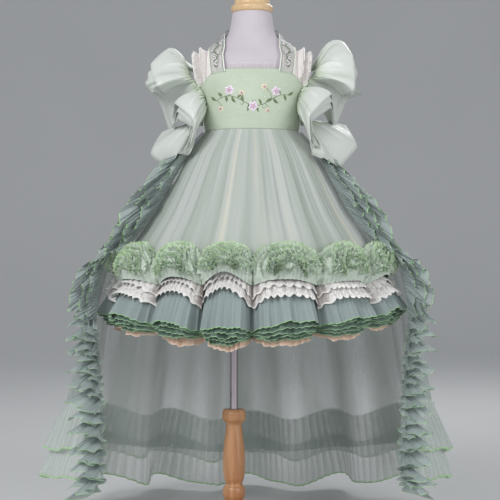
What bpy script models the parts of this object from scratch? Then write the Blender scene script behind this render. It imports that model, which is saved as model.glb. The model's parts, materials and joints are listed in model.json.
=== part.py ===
"""A child's evening gown with a short gathered skirt and a long open train, worn by a dress form.

Metres, +Z up. The origin is the centre of the base's underside, on the floor, under the pole.
The gown's own axis stands beside the pole. Angles run round that axis: 0 is the front (-Y),
90 is the side towards +X, 180 is the centre back (+Y). Left and right are as seen from the front,
so the right side is +X.
"""

import math

import bmesh
import bpy
from mathutils import Vector

# Driving dimensions
GOWN_AXIS_X = 0.036
PIECE_GAP = 0.0003
WALL = 0.0012
BODICE_WALL = 0.0014
SATIN_WALL = 0.0016
SEAM_GAP = 0.0006
LAYER_STEP = 0.0019
SATIN_LAYER_STEP = 0.0032
OUTER_LAYER_WIDER = 0.07

WAIST_Z = 0.786
CENTRE_TOP_Z = 0.904
ARMPIT_Z = 0.866
BACK_TOP_Z = 0.884
BODICE_OFFSET = 0.0034
YOKE_OFFSET = 0.0014
HALTER_OFFSET = 0.0060
FORM_OFFSET = -0.0020

FORM_BOTTOM_Z = 0.62
NECK_TOP_Z = 1.024
CAP_TOP_Z = 1.060
POLE_RADIUS = 0.0085
COLUMN_TOP_Z = 0.232
BASE_RADIUS = 0.145
BASE_HEIGHT = 0.018

SKIRT_END_Z = 0.490
LAYER_TOP_Z = 0.500
CREASE_DEPTH = 0.032
SKIRT_FOLD = 0.004
PANEL_SEAM_ANGLE = 0.35
GATHERS_A_BUNCH = 2
COLUMNS_A_BUNCH = 8
OVAL_END_Z = 0.60

TRAIN_EDGE_ANGLE = 76.0
TRAIN_GATHERS = 16
TRAIN_COLUMNS = 4 * TRAIN_GATHERS
TIER_DROP = 0.150
TIER_HEIGHT = 0.090
TIER_WAVE = 0.005
TIER_LAP = 0.006
PANEL_DROP = 0.085
CASCADE_WAVES = 12
CASCADE_TOP_Z = 0.715
CASCADE_TURN = 20.0
CASCADE_CURL = 0.014
CASCADE_RIPPLE = 0.006
CASCADE_DROOP = 0.018

# The wearer's trunk: height, half width, half depth
TRUNK = (
    (0.620, 0.092, 0.080),
    (0.700, 0.097, 0.084),
    (0.786, 0.090, 0.077),
    (0.830, 0.097, 0.079),
    (0.866, 0.103, 0.080),
    (0.905, 0.107, 0.077),
    (0.930, 0.103, 0.071),
    (0.946, 0.090, 0.063),
    (0.958, 0.074, 0.057),
    (0.970, 0.057, 0.051),
    (0.988, 0.047, 0.046),
    (1.024, 0.041, 0.041),
)

# The skirt: height, radius, how much of each bunch's crease it takes
SKIRT = (
    (0.7852, 0.0934, 0.0),
    (0.740, 0.128, 0.0),
    (0.690, 0.156, 0.0),
    (0.620, 0.195, 0.0),
    (0.556, 0.240, 0.08),
    (0.522, 0.252, 0.55),
    (0.490, 0.2565, 1.0),
)

# The flounce is caught up in bunches: angle where one starts, lift of its lace, height of its hem
BUNCHES = (
    (-72.0, 0.014, 0.408),
    (-42.0, 0.020, 0.396),
    (-21.0, 0.030, 0.388),
    (0.0, 0.016, 0.396),
    (28.0, 0.012, 0.404),
    (54.0, 0.022, 0.416),
    (81.0, 0.018, 0.412),
    (110.0, 0.024, 0.404),
    (139.0, 0.018, 0.398),
    (168.0, 0.026, 0.400),
    (197.0, 0.018, 0.402),
    (230.0, 0.022, 0.408),
)

# The pouf's rows below its seam: height, radius, dip at the folds, share of the crease and lift, gather
POUF = (
    (0.5530, 0.2700, 0.032, 0.45, 0.0, 0.004),
    (0.5150, 0.2900, 0.016, 0.90, 0.6, 0.004),
    (0.4810, 0.2810, -0.004, 1.00, 1.0, 0.002),
)
POUF_SEAM_Z = 0.557
POUF_SEAM_DIP = 0.030

# Hanging layers: top edge's height and distance from the skirt, hem radius, hem below the bunch's, gather
RUFFLE = (LAYER_TOP_Z, LAYER_STEP, 0.3060, 0.0, 0.006)
UNDER_RUFFLE = (SKIRT_END_Z - 2 * SEAM_GAP, 0.0, 0.2880, 0.012, 0.0)
PETTICOAT = (SKIRT_END_Z - 2 * SEAM_GAP, -0.0022, 0.2680, 0.026, 0.0)
LACE_TOP_Z = 0.484
LACE_TOP_OFFSET = 2 * LAYER_STEP
LACE_DROP = 0.036
LACE_FLARE = 0.009

# The train's fall: height, how far it stands off the skirt's bell at the front edges and at the back
TRAIN = (
    (0.7852, 0.0020, 0.0020),
    (0.740, 0.0090, 0.0090),
    (0.690, 0.0110, 0.0120),
    (0.620, 0.0120, 0.0160),
    (0.575, 0.0160, 0.0270),
    (0.545, 0.0430, 0.0580),
    (0.490, 0.0560, 0.0660),
    (0.400, 0.0670, 0.0815),
    (0.330, 0.0595, 0.0875),
    (0.200, 0.0515, 0.0995),
    (0.060, 0.0495, 0.1055),
)
TRAIN_ROWS_Z = (0.7852, 0.740, 0.690, 0.620, 0.575, 0.545, 0.430, 0.300)
FLUTE_START_Z = 0.560
FLUTE_FULL_Z = 0.090

# The train's hem seen from above: angle, radius
TRAIN_HEM = (
    (76.0, 0.306),
    (87.0, 0.345),
    (103.0, 0.405),
    (117.0, 0.380),
    (131.0, 0.440),
    (143.0, 0.390),
    (155.0, 0.446),
    (167.0, 0.398),
    (180.0, 0.452),
    (193.0, 0.396),
    (205.0, 0.448),
    (217.0, 0.392),
    (229.0, 0.438),
    (242.0, 0.388),
    (257.0, 0.425),
    (273.0, 0.345),
    (284.0, 0.306),
)
HEM_BACK_Z = 0.006
HEM_FRONT_RISE = 0.082

# The cascade ruffle down each front edge: share of its length, width
CASCADE_WIDTH = ((0.0, 0.045), (0.15, 0.060), (0.3, 0.062), (0.5, 0.070), (0.6, 0.078), (1.0, 0.092))

# The halter ribbon's two edges: inner angle and height, outer angle and height
HALTER = (
    (27.5, 0.8990, 50.0, 0.8960),
    (31.0, 0.9300, 55.0, 0.9250),
    (40.0, 0.9560, 66.0, 0.9420),
    (78.0, 0.9820, 92.0, 0.9600),
    (115.0, 0.9940, 118.0, 0.9680),
    (150.0, 1.0000, 150.0, 0.9740),
    (179.6, 1.0020, 179.6, 0.9760),
)

# Shoulder ruffles, a row for each rib from the top of the armhole to the underarm:
# seam angle, height and stand-off, then the rib's middle and its free edge across, forward and up
SHOULDER_LEFT = (
    (122, 0.914, 0.0212, 0.146, -0.040, 0.944, 0.160, -0.052, 0.940),
    (93, 0.914, 0.0212, 0.150, -0.012, 0.972, 0.176, -0.018, 0.944),
    (80, 0.906, 0.0202, 0.166, 0.020, 0.950, 0.212, 0.012, 0.906),
    (74, 0.894, 0.0176, 0.164, 0.058, 0.892, 0.197, 0.044, 0.868),
    (70, 0.880, 0.0136, 0.150, 0.020, 0.862, 0.186, -0.020, 0.842),
    (66, 0.868, 0.0092, 0.136, 0.036, 0.838, 0.166, -0.024, 0.796),
    (62, 0.856, 0.0069, 0.134, 0.080, 0.862, 0.158, 0.064, 0.822),
    (60, 0.840, 0.0069, 0.116, 0.110, 0.812, 0.138, 0.088, 0.748),
    (64, 0.820, 0.0069, 0.116, 0.070, 0.776, 0.146, 0.026, 0.730),
    (78, 0.806, 0.0069, 0.140, 0.036, 0.796, 0.192, 0.004, 0.750),
    (96, 0.800, 0.0069, 0.124, -0.012, 0.800, 0.164, -0.030, 0.782),
)
SHOULDER_RIGHT = (
    (122, 0.914, 0.0212, 0.146, -0.040, 0.950, 0.164, -0.050, 0.954),
    (93, 0.914, 0.0212, 0.148, -0.008, 0.998, 0.196, -0.008, 0.956),
    (80, 0.906, 0.0202, 0.178, 0.040, 0.962, 0.210, 0.026, 0.920),
    (74, 0.896, 0.0176, 0.190, 0.066, 0.890, 0.204, 0.036, 0.860),
    (70, 0.886, 0.0136, 0.158, 0.022, 0.868, 0.190, -0.020, 0.838),
    (66, 0.874, 0.0092, 0.138, 0.036, 0.846, 0.168, -0.022, 0.806),
    (62, 0.862, 0.0069, 0.144, 0.084, 0.876, 0.172, 0.070, 0.838),
    (58, 0.842, 0.0069, 0.114, 0.108, 0.808, 0.128, 0.082, 0.748),
    (64, 0.820, 0.0069, 0.118, 0.076, 0.770, 0.152, 0.048, 0.724),
    (78, 0.806, 0.0069, 0.148, 0.036, 0.800, 0.202, 0.008, 0.762),
    (96, 0.800, 0.0069, 0.126, -0.012, 0.806, 0.172, -0.032, 0.796),
)


# Curves through the tables
def between(table, key, column):
    """The column's value at this key, on a smooth curve through the table's rows."""
    if key <= min(table[0][0], table[-1][0]):
        return table[0 if table[0][0] < table[-1][0] else -1][column]
    if key >= max(table[0][0], table[-1][0]):
        return table[-1 if table[0][0] < table[-1][0] else 0][column]
    rows = table if table[0][0] < table[-1][0] else table[::-1]
    i = max(k for k in range(len(rows) - 1) if rows[k][0] <= key)
    here, after = rows[i], rows[i + 1]
    before = rows[max(i - 1, 0)]
    beyond = rows[min(i + 2, len(rows) - 1)]
    span = after[0] - here[0]
    t = (key - here[0]) / span
    slope_here = (after[column] - before[column]) / (after[0] - before[0]) * span
    slope_after = (beyond[column] - here[column]) / (beyond[0] - here[0]) * span
    return (
        (2 * t**3 - 3 * t**2 + 1) * here[column]
        + (t**3 - 2 * t**2 + t) * slope_here
        + (3 * t**2 - 2 * t**3) * after[column]
        + (t**3 - t**2) * slope_after
    )


def ribs_between(rows, share):
    """A row between the ribs, smooth from one to the next."""
    numbered = [(k,) + tuple(row) for k, row in enumerate(rows)]
    place = share * (len(rows) - 1)
    return [between(numbered, place, column) for column in range(1, len(numbered[0]))]


def blend(low, high, value):
    """0 up to low, 1 from high on, and smooth between them."""
    t = min(max((value - low) / (high - low), 0.0), 1.0)
    return t * t * (3 - 2 * t)


# Places on the wearer and round the gown's axis
def round_axis(angle, half_width, half_depth, z):
    """A point on an oval round the gown's axis."""
    a = math.radians(angle)
    return Vector((GOWN_AXIS_X + half_width * math.sin(a), -half_depth * math.cos(a), z))


def on_trunk(angle, z, offset):
    """A point this far outside the wearer's trunk."""
    return round_axis(angle, between(TRUNK, z, 1) + offset, between(TRUNK, z, 2) + offset, z)


def bodice_top(angle):
    """The top edge dips from the chest to the armpit and rises a little at the back."""
    a = abs(angle)
    if a <= 90:
        return CENTRE_TOP_Z + (ARMPIT_Z - CENTRE_TOP_Z) * blend(32, 84, a)
    return ARMPIT_Z + (BACK_TOP_Z - ARMPIT_Z) * blend(90, 140, a)


# Making cloth
def sheet(name, columns, rows, place, wall, material, closed=False, stand_off=0.0):
    """A wall of cloth: a grid whose points go where place(u, v) says, moved out, with thickness."""
    bm = bmesh.new()
    bmesh.ops.create_grid(bm, x_segments=columns, y_segments=rows, size=0.5)
    for vert in bm.verts:
        vert.co = place(vert.co.x + 0.5, vert.co.y + 0.5)
    if closed:
        bmesh.ops.remove_doubles(bm, verts=bm.verts, dist=0.00001)
    bm.normal_update()
    for vert in bm.verts:
        vert.co += vert.normal * stand_off
    return finish(bm, name, material, wall)


def finish(bm, name, material, wall=None):
    mesh = bpy.data.meshes.new(name)
    bm.to_mesh(mesh)
    bm.free()
    mesh.shade_smooth()
    mesh.set_sharp_from_angle(angle=math.radians(50))
    mesh.materials.append(material)
    obj = bpy.data.objects.new(name, mesh)
    bpy.context.scene.collection.objects.link(obj)
    if wall:
        solid = obj.modifiers.new("Wall", "SOLIDIFY")
        solid.thickness = wall
        solid.offset = 0.0
    return obj


def turned(name, profile, sides, material):
    """A piece turned about the pole's axis, from (radius, height) points, closed at both ends."""
    bm = bmesh.new()
    corners = [bm.verts.new((radius, 0, z)) for radius, z in profile]
    edges = [bm.edges.new(pair) for pair in zip(corners, corners[1:])]
    bmesh.ops.spin(
        bm, geom=corners + edges, cent=(0, 0, 0), axis=(0, 0, 1), angle=math.tau,
        steps=sides, use_merge=True,
    )
    bmesh.ops.remove_doubles(bm, verts=bm.verts, dist=0.00001)
    bmesh.ops.holes_fill(bm, edges=[e for e in bm.edges if e.is_boundary])
    bmesh.ops.recalc_face_normals(bm, faces=bm.faces)
    return finish(bm, name, material)


def stacked(name, heights, radii_at, sides, material, centre_x):
    """A body of elliptical rings joined one to the next, closed at both ends."""
    bm = bmesh.new()
    rings = []
    for z in heights:
        made = bmesh.ops.create_circle(bm, segments=sides, radius=1.0)
        half_width, half_depth = radii_at(z)
        for vert in made["verts"]:
            vert.co = Vector((centre_x + vert.co.x * half_width, vert.co.y * half_depth, z))
        rings.append({edge for vert in made["verts"] for edge in vert.link_edges})
    for lower, upper in zip(rings, rings[1:]):
        bmesh.ops.bridge_loops(bm, edges=list(lower | upper))
    bmesh.ops.holes_fill(bm, edges=[e for e in bm.edges if e.is_boundary])
    bmesh.ops.recalc_face_normals(bm, faces=bm.faces)
    return finish(bm, name, material)


def finish_of(name, colour, roughness, metallic=0.0):
    """A material of one colour."""
    material = bpy.data.materials.new(name)
    material.use_nodes = True
    shader = material.node_tree.nodes["Principled BSDF"]
    shader.inputs["Base Color"].default_value = (*colour, 1.0)
    shader.inputs["Roughness"].default_value = roughness
    shader.inputs["Metallic"].default_value = metallic
    return material


# The dress form
def form_radii(z):
    """Half width and half depth of the form's body, rounded at its bottom."""
    bottom_round = 0.80 + 0.20 * blend(FORM_BOTTOM_Z, FORM_BOTTOM_Z + 0.02, z)
    return tuple(bottom_round * (between(TRUNK, z, column) + FORM_OFFSET) for column in (1, 2))


def make_form(cloth, light_wood, chrome, wood):
    heights = (
        0.620, 0.626, 0.640, 0.700, 0.760, 0.800, 0.840, 0.880, 0.905,
        0.925, 0.938, 0.950, 0.961, 0.970, 0.982, 1.000, 1.024,
    )
    stacked("form_body", heights, form_radii, 26, cloth, GOWN_AXIS_X)
    cap_bottom = NECK_TOP_Z + PIECE_GAP
    cap = ((0.0, 1.0), (0.008, 1.02), (0.026, 0.98), (0.033, 0.86), (CAP_TOP_Z - cap_bottom, 0.62))

    def cap_radii(z):
        scale = between(cap, z - cap_bottom, 1)
        return 0.0400 * scale, 0.0400 * scale

    stacked("neck_cap", [cap_bottom + row[0] for row in cap], cap_radii, 26, light_wood, GOWN_AXIS_X)
    pole = ((POLE_RADIUS, COLUMN_TOP_Z + PIECE_GAP), (POLE_RADIUS, FORM_BOTTOM_Z - PIECE_GAP))
    turned("pole", pole, 18, chrome)
    column = (
        (0.020, BASE_HEIGHT + PIECE_GAP), (0.023, 0.026), (0.023, 0.046), (0.018, 0.051),
        (0.022, 0.060), (0.022, 0.074), (0.0165, 0.081), (0.0205, 0.095), (0.0225, 0.125),
        (0.0205, 0.158), (0.0165, 0.190), (0.0165, 0.204), (0.0235, 0.214),
        (0.0235, 0.226), (0.0205, COLUMN_TOP_Z),
    )
    turned("column", column, 16, wood)
    base = (
        (BASE_RADIUS - 0.003, 0.0), (BASE_RADIUS, 0.003), (BASE_RADIUS, 0.012),
        (BASE_RADIUS - 0.008, BASE_HEIGHT), (0.030, BASE_HEIGHT),
    )
    turned("base", base, 30, wood)


# Bodice, yoke and halter
def make_bodice(material):
    gap = PANEL_SEAM_ANGLE
    panels = (
        ("bodice_front", -90 + gap, 90 - gap, 16),
        ("bodice_back_right", 90 + gap, 180 - gap, 8),
        ("bodice_back_left", 180 + gap, 270 - gap, 8),
    )
    for name, start, end, columns in panels:

        def place(u, v, start=start, end=end):
            angle = start + (end - start) * u
            top = bodice_top(angle if angle <= 180 else angle - 360)
            return on_trunk(angle, WAIST_Z + (top - WAIST_Z) * v, BODICE_OFFSET)

        sheet(name, columns, 4, place, BODICE_WALL, material)


def ridge_height(across):
    """The height where the shoulder's line is this far from the gown's axis."""
    low, high = 0.915, 1.0
    for _ in range(30):
        middle = (low + high) / 2
        if between(TRUNK, middle, 1) + YOKE_OFFSET > across:
            low = middle
        else:
            high = middle
    return low


def over_shoulder(across, turn):
    """A point of the yoke this far across: turn runs from -1 at the front to 1 at the back."""
    hidden = 0.004
    edge_angle = math.degrees(math.asin(min(across / 0.108, 0.99)))
    foot = bodice_top(edge_angle if turn < 0 else 180 - edge_angle) - hidden
    ridge = ridge_height(across)
    z = foot + (ridge - foot) * math.cos(turn * math.pi / 2) ** 0.8
    half_width = between(TRUNK, z, 1) + YOKE_OFFSET
    half_depth = between(TRUNK, z, 2) + YOKE_OFFSET
    depth = half_depth * math.sqrt(max(1 - (across / half_width) ** 2, 0.0))
    return Vector((across, math.copysign(depth, turn), z))


def make_yoke(material):
    inner, outer, frill, rise, pleats, pleat_depth = 0.060, 0.1015, 0.021, 0.014, 5, 0.004
    flat_share = 0.6
    for name, side in (("yoke_left", -1), ("yoke_right", 1)):

        def place(u, v, side=side):
            turn = 2 * u - 1
            flat = math.sin(min(v / flat_share, 1.0) * math.pi / 2)
            point = over_shoulder(inner + (outer - inner) * flat, turn)
            stand = max(v - flat_share, 0.0) / (1 - flat_share)
            ends = max(math.cos(turn * math.pi / 2), 0.0) ** 0.5
            point.x += stand * frill * ends
            point.z += stand * rise
            point.y += stand * pleat_depth * ends * math.sin(2 * math.pi * pleats * u)
            point.x = GOWN_AXIS_X + side * point.x
            return point

        sheet(name, 20, 5, place, WALL, material)

    def chest(u, v):
        angle = -24.5 + 49.0 * u
        foot = bodice_top(angle) - 0.004
        return on_trunk(angle, foot + 0.016 * v, YOKE_OFFSET)

    sheet("yoke_centre", 8, 2, chest, WALL, material)


def make_halter(material):
    for name, side in (("halter_left", -1), ("halter_right", 1)):

        def place(u, v, side=side):
            inner_angle, inner_z, outer_angle, outer_z = ribs_between(HALTER, u)
            angle = inner_angle + (outer_angle - inner_angle) * v
            return on_trunk(side * angle, inner_z + (outer_z - inner_z) * v, HALTER_OFFSET)

        sheet(name, 14, 3, place, WALL, material)


# Shoulder ruffles
def rib_place(ribs, side, along, across):
    """A point along the armhole's seam and out across the ruffle, on a curve through its rib."""
    seam_angle, seam_z, stand_off, *rest = ribs_between(ribs, along)
    mid_x, mid_forward, mid_z, edge_x, edge_forward, edge_z = rest
    seam = on_trunk(seam_angle, seam_z, stand_off)
    seam.x -= GOWN_AXIS_X
    middle = Vector((mid_x, -mid_forward, mid_z))
    edge = Vector((edge_x, -edge_forward, edge_z))
    t = across
    point = seam * (1 - t) ** 2 + middle * (2 * t * (1 - t)) + edge * t**2
    point.x = GOWN_AXIS_X + side * point.x
    return point


def make_shoulder_ruffles(material):
    """Two layers each: the outer one reaches a little past the free edge of the one under it."""
    for name, side, ribs in (("left", -1, SHOULDER_LEFT), ("right", 1, SHOULDER_RIGHT)):

        def outer(u, v, side=side, ribs=ribs):
            return rib_place(ribs, side, u, v + OUTER_LAYER_WIDER * (v > 0.99))

        def under(u, v, side=side, ribs=ribs):
            return rib_place(ribs, side, u, v)

        sheet(f"shoulder_{name}_outer", 26, 3, outer, SATIN_WALL, material)
        sheet(f"shoulder_{name}_under", 26, 3, under, SATIN_WALL, material, stand_off=side * SATIN_LAYER_STEP)


# Skirt and flounce
def bunch_at(angle):
    """Which bunch this angle is in, and how far through it."""
    first = BUNCHES[0][0]
    a = (angle - first) % 360 + first
    i = max(k for k in range(len(BUNCHES)) if BUNCHES[k][0] <= a + 1e-9)
    end = BUNCHES[i + 1][0] if i + 1 < len(BUNCHES) else first + 360
    return i, (a - BUNCHES[i][0]) / (end - BUNCHES[i][0])


def bunch_angle(u):
    """The angle of a column, with the same number of columns to each bunch."""
    place = u * len(BUNCHES)
    i = min(int(place + 1e-6), len(BUNCHES) - 1)
    end = BUNCHES[i + 1][0] if i + 1 < len(BUNCHES) else BUNCHES[0][0] + 360
    return BUNCHES[i][0] + (end - BUNCHES[i][0]) * (place - i)


def crease(angle):
    """1 in the fold between two bunches, 0 in the middle of one."""
    t = bunch_at(angle)[1]
    return 1 - math.sqrt(max(math.sin(math.pi * t), 0.0))


def bunch_value(angle, column):
    """The bunch's value in its middle, shared with the neighbour's at a fold."""
    i, t = bunch_at(angle)
    here = BUNCHES[i][column]
    other = BUNCHES[i - 1 if t < 0.5 else (i + 1) % len(BUNCHES)][column]
    return here + (other - here) * (0.5 - 0.5 * blend(0.0, 0.5, min(t, 1 - t)))


def arch(angle):
    """0 in the folds, 1 in the middle of a bunch."""
    return math.sin(math.pi * bunch_at(angle)[1])


def gather(angle):
    """The small gathers within each bunch, from -1 to 1."""
    return math.sin(2 * math.pi * GATHERS_A_BUNCH * bunch_at(angle)[1])


def flounce_point(angle, radius, z):
    """Round below the hips, and the waist's oval at the top."""
    waist_oval = (between(TRUNK, WAIST_Z, 2) + BODICE_OFFSET) / SKIRT[0][1]
    oval = waist_oval + (1 - waist_oval) * blend(0.0, WAIST_Z - OVAL_END_Z, WAIST_Z - z)
    return round_axis(angle, radius, radius * oval, z)


def skirt_radius(angle, z):
    """The skirt's bell, drawn in where the bunches fold."""
    return between(SKIRT, z, 1) - CREASE_DEPTH * between(SKIRT, z, 2) * crease(angle)


def make_skirt(material):
    def place(u, v):
        angle = bunch_angle(u)
        z = SKIRT[round(v * (len(SKIRT) - 1))][0]
        radius = skirt_radius(angle, z)
        if z > POUF_SEAM_Z:
            radius += SKIRT_FOLD * math.sin(2 * math.pi * bunch_at(angle)[1]) * math.sin(math.pi * v)
        return flounce_point(angle, radius, z)

    sheet("skirt", len(BUNCHES) * 4, len(SKIRT) - 1, place, WALL, material, closed=True)


def pouf_row(angle, row):
    """Height and radius of a row: row 0 is the seam on the skirt, which dips at the folds."""
    if row == 0:
        z = POUF_SEAM_Z - POUF_SEAM_DIP * crease(angle)
        return z, skirt_radius(angle, z) + LAYER_STEP
    z, radius, dip, fold, lifted, depth = POUF[row - 1]
    z += lifted * bunch_value(angle, 1) * arch(angle) - dip * crease(angle)
    return z, radius + depth * gather(angle) - CREASE_DEPTH * fold * crease(angle)


def make_pouf(material):
    def place(u, v):
        angle = bunch_angle(u)
        z, radius = pouf_row(angle, round(v * len(POUF)))
        return flounce_point(angle, radius, z)

    sheet("pouf", len(BUNCHES) * COLUMNS_A_BUNCH, len(POUF), place, WALL, material, closed=True)


def hanging_radius(angle, share, layer):
    """How far out a hanging layer is, this share of the way from its top edge to its hem."""
    top_z, offset, hem_radius, _, depth = layer
    top = skirt_radius(angle, top_z) + offset
    hem = hem_radius - CREASE_DEPTH * 0.9 * crease(angle) + depth * gather(angle)
    return top + (hem - top) * share ** 0.8


def make_hanging(name, layer, columns, rows, material):
    def place(u, v):
        angle = bunch_angle(u)
        hem_z = bunch_value(angle, 2) - layer[3]
        z = layer[0] + (hem_z - layer[0]) * v
        return flounce_point(angle, hanging_radius(angle, v, layer), z)

    sheet(name, len(BUNCHES) * columns, rows, place, WALL, material, closed=True)


def make_lace(material):
    def place(u, v):
        angle = bunch_angle(u)
        z = LACE_TOP_Z - LACE_DROP * v + bunch_value(angle, 1) * arch(angle)
        hem_z = bunch_value(angle, 2)
        share = min(max((LAYER_TOP_Z - z) / (LAYER_TOP_Z - hem_z), 0.0), 1.0)
        radius = hanging_radius(angle, share, RUFFLE) + LACE_TOP_OFFSET - LAYER_STEP
        return flounce_point(angle, radius + LACE_FLARE * v * v, z)

    sheet("lace", len(BUNCHES) * COLUMNS_A_BUNCH, 1, place, WALL, material, closed=True)


# Train
def hem_height(angle):
    """The hem all but sweeps the floor behind and rises to its front edges."""
    return HEM_BACK_Z + HEM_FRONT_RISE * blend(0, 180 - TRAIN_EDGE_ANGLE, abs(180 - angle))


def train_radius(angle, z):
    """The train's fall, from a plain bell at the flounce to deep flutes at the hem."""
    behind = blend(TRAIN_EDGE_ANGLE, 130, 180 - abs(180 - angle))
    edge, back = between(TRAIN, z, 1), between(TRAIN, z, 2)
    fall = between(SKIRT, z, 1) + edge + (back - edge) * behind
    share = max((FLUTE_START_Z - z) / (FLUTE_START_Z - FLUTE_FULL_Z), 0.0) ** 1.35
    return fall + (between(TRAIN_HEM, angle, 1) - fall) * share


def train_angle(u):
    return TRAIN_EDGE_ANGLE + (360 - 2 * TRAIN_EDGE_ANGLE) * u


def train_point(angle, z, out=0.0):
    """A point on the train's fall, or this far outside it."""
    return flounce_point(angle, train_radius(angle, z) + out, z)


def make_train(material):
    def place(u, v):
        angle = train_angle(u)
        hem = hem_height(angle)
        heights = TRAIN_ROWS_Z + (hem + TIER_DROP, hem + PANEL_DROP)
        return train_point(angle, heights[round(v * (len(heights) - 1))])

    sheet("train_panel", TRAIN_COLUMNS, len(TRAIN_ROWS_Z) + 1, place, WALL, material)


def make_tier(name, top_drop, height, flare, rows, material):
    """A gathered tier that hangs from its seam on the train and stands out at its edge."""

    def place(u, v):
        angle = train_angle(u)
        z = hem_height(angle) + top_drop - height * v
        wave = math.sin(2 * math.pi * TRAIN_GATHERS * u) * TIER_WAVE * v
        return train_point(angle, z, LAYER_STEP + flare * v + wave)

    sheet(name, TRAIN_COLUMNS, rows, place, WALL, material)


def cascade_point(side, along, across, forward, lean):
    """A point of the ruffle down a front edge, which curls as it stands out."""
    end_z = HEM_BACK_Z + HEM_FRONT_RISE + 0.02
    root = train_point(TRAIN_EDGE_ANGLE, CASCADE_TOP_Z + (end_z - CASCADE_TOP_Z) * along)
    out_angle = math.radians(TRAIN_EDGE_ANGLE - CASCADE_TURN)
    outward = Vector((math.sin(out_angle), -math.cos(out_angle), 0))
    ahead = Vector((-math.cos(out_angle), -math.sin(out_angle), 0))
    phase = 2 * math.pi * CASCADE_WAVES * along
    point = root + outward * (between(CASCADE_WIDTH, along, 1) * across)
    point += ahead * (forward + (CASCADE_CURL * math.cos(phase) + lean) * across)
    point.z += (CASCADE_RIPPLE * math.sin(phase) - CASCADE_DROOP) * across
    point.x = GOWN_AXIS_X + side * (point.x - GOWN_AXIS_X)
    return point


def make_cascades(material):
    layers = (("outer", 0.0013, 0.0, 1.0, 2), ("under", 0.0090, 0.006, 0.72, 1))
    for side_name, side in (("left", -1), ("right", 1)):
        for layer, forward, lean, width_share, rows in layers:

            def place(u, v, side=side, forward=forward, lean=lean, width_share=width_share):
                return cascade_point(side, u, v * width_share, forward, lean)

            sheet(f"cascade_{side_name}_{layer}", CASCADE_WAVES * 4, rows, place, WALL, material)


def main():
    for obj in list(bpy.data.objects):
        bpy.data.objects.remove(obj)
    sage = finish_of("Sage crepe", (0.42, 0.52, 0.36), 0.7)
    blush = finish_of("Cream mesh", (0.80, 0.72, 0.66), 0.8)
    ribbon = finish_of("Embroidered ribbon", (0.72, 0.76, 0.66), 0.6)
    satin = finish_of("Pale green satin", (0.70, 0.76, 0.65), 0.35)
    tulle = finish_of("Skirt tulle", (0.55, 0.60, 0.54), 0.8)
    green = finish_of("Green tulle", (0.30, 0.44, 0.28), 0.8)
    grey = finish_of("Grey green tulle", (0.36, 0.44, 0.42), 0.8)
    lace = finish_of("Cream lace", (0.76, 0.68, 0.62), 0.8)
    peach = finish_of("Blush petticoat net", (0.70, 0.48, 0.38), 0.8)
    form = finish_of("Form jersey", (0.68, 0.64, 0.72), 0.85)
    cap_wood = finish_of("Pale beech", (0.66, 0.46, 0.30), 0.45)
    wood = finish_of("Turned beech", (0.50, 0.30, 0.18), 0.4)
    chrome = finish_of("Chrome", (0.75, 0.72, 0.73), 0.12, 1.0)
    make_form(form, cap_wood, chrome, wood)
    make_bodice(sage)
    make_yoke(blush)
    make_halter(ribbon)
    make_shoulder_ruffles(satin)
    make_skirt(tulle)
    make_pouf(green)
    make_lace(lace)
    make_hanging("ruffle", RUFFLE, COLUMNS_A_BUNCH, 2, grey)
    make_hanging("under_ruffle", UNDER_RUFFLE, 4, 1, green)
    make_hanging("petticoat", PETTICOAT, 4, 1, peach)
    make_train(grey)
    make_tier("hem_tier_upper", TIER_DROP, TIER_HEIGHT, 0.022, 2, grey)
    make_tier("hem_tier_lower", PANEL_DROP + TIER_LAP, PANEL_DROP + TIER_LAP, 0.014, 1, grey)
    make_cascades(green)


main()
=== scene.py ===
# %% [markdown]
# # A child's evening gown on a dress form
# The gown is a short gathered skirt with a bunched, ruffled edge, and a long sheer train open at the front.
# Its solids are packed already. This lesson dresses them: each layer of cloth becomes a thin sheet with its
# own gathers, on the form that its solid holds, and each finish becomes a material made from nodes.

import json
import math

import bmesh
import bpy
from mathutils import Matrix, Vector, noise

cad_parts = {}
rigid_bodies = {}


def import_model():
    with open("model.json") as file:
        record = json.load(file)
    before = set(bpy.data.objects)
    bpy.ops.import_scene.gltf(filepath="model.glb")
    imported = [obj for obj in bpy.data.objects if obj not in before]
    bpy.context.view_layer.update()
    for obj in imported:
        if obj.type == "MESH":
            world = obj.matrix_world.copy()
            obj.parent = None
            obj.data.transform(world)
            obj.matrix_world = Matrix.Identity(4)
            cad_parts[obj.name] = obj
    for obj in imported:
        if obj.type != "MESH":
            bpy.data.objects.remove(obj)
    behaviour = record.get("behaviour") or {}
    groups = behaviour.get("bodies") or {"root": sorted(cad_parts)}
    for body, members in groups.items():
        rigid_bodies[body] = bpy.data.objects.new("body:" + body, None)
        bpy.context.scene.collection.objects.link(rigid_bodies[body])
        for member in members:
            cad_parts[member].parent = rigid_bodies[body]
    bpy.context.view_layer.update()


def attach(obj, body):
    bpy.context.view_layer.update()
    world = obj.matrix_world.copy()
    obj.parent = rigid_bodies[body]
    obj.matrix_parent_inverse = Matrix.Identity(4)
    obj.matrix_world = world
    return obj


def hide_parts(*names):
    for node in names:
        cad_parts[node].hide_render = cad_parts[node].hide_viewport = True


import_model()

# %% [markdown]
# ## Camera
# The photograph looks straight at the front from the height of the skirt, with a long lens, so that the
# gown keeps its proportions. The lens and distance are worked out from the form: two millimetres to a
# picture point.

# %% Camera at the photograph's angle
camera = bpy.data.objects.new("camera", bpy.data.cameras.new("camera"))
bpy.context.scene.collection.objects.link(camera)
camera.data.lens = 108.0
camera.data.sensor_width = 36.0
camera.location = (0.032, -3.0, 0.55)
camera.rotation_euler = (math.pi / 2, 0.0, 0.0)
bpy.context.scene.camera = camera
print("camera looks along +Y from", tuple(round(x, 3) for x in camera.location))

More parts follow.
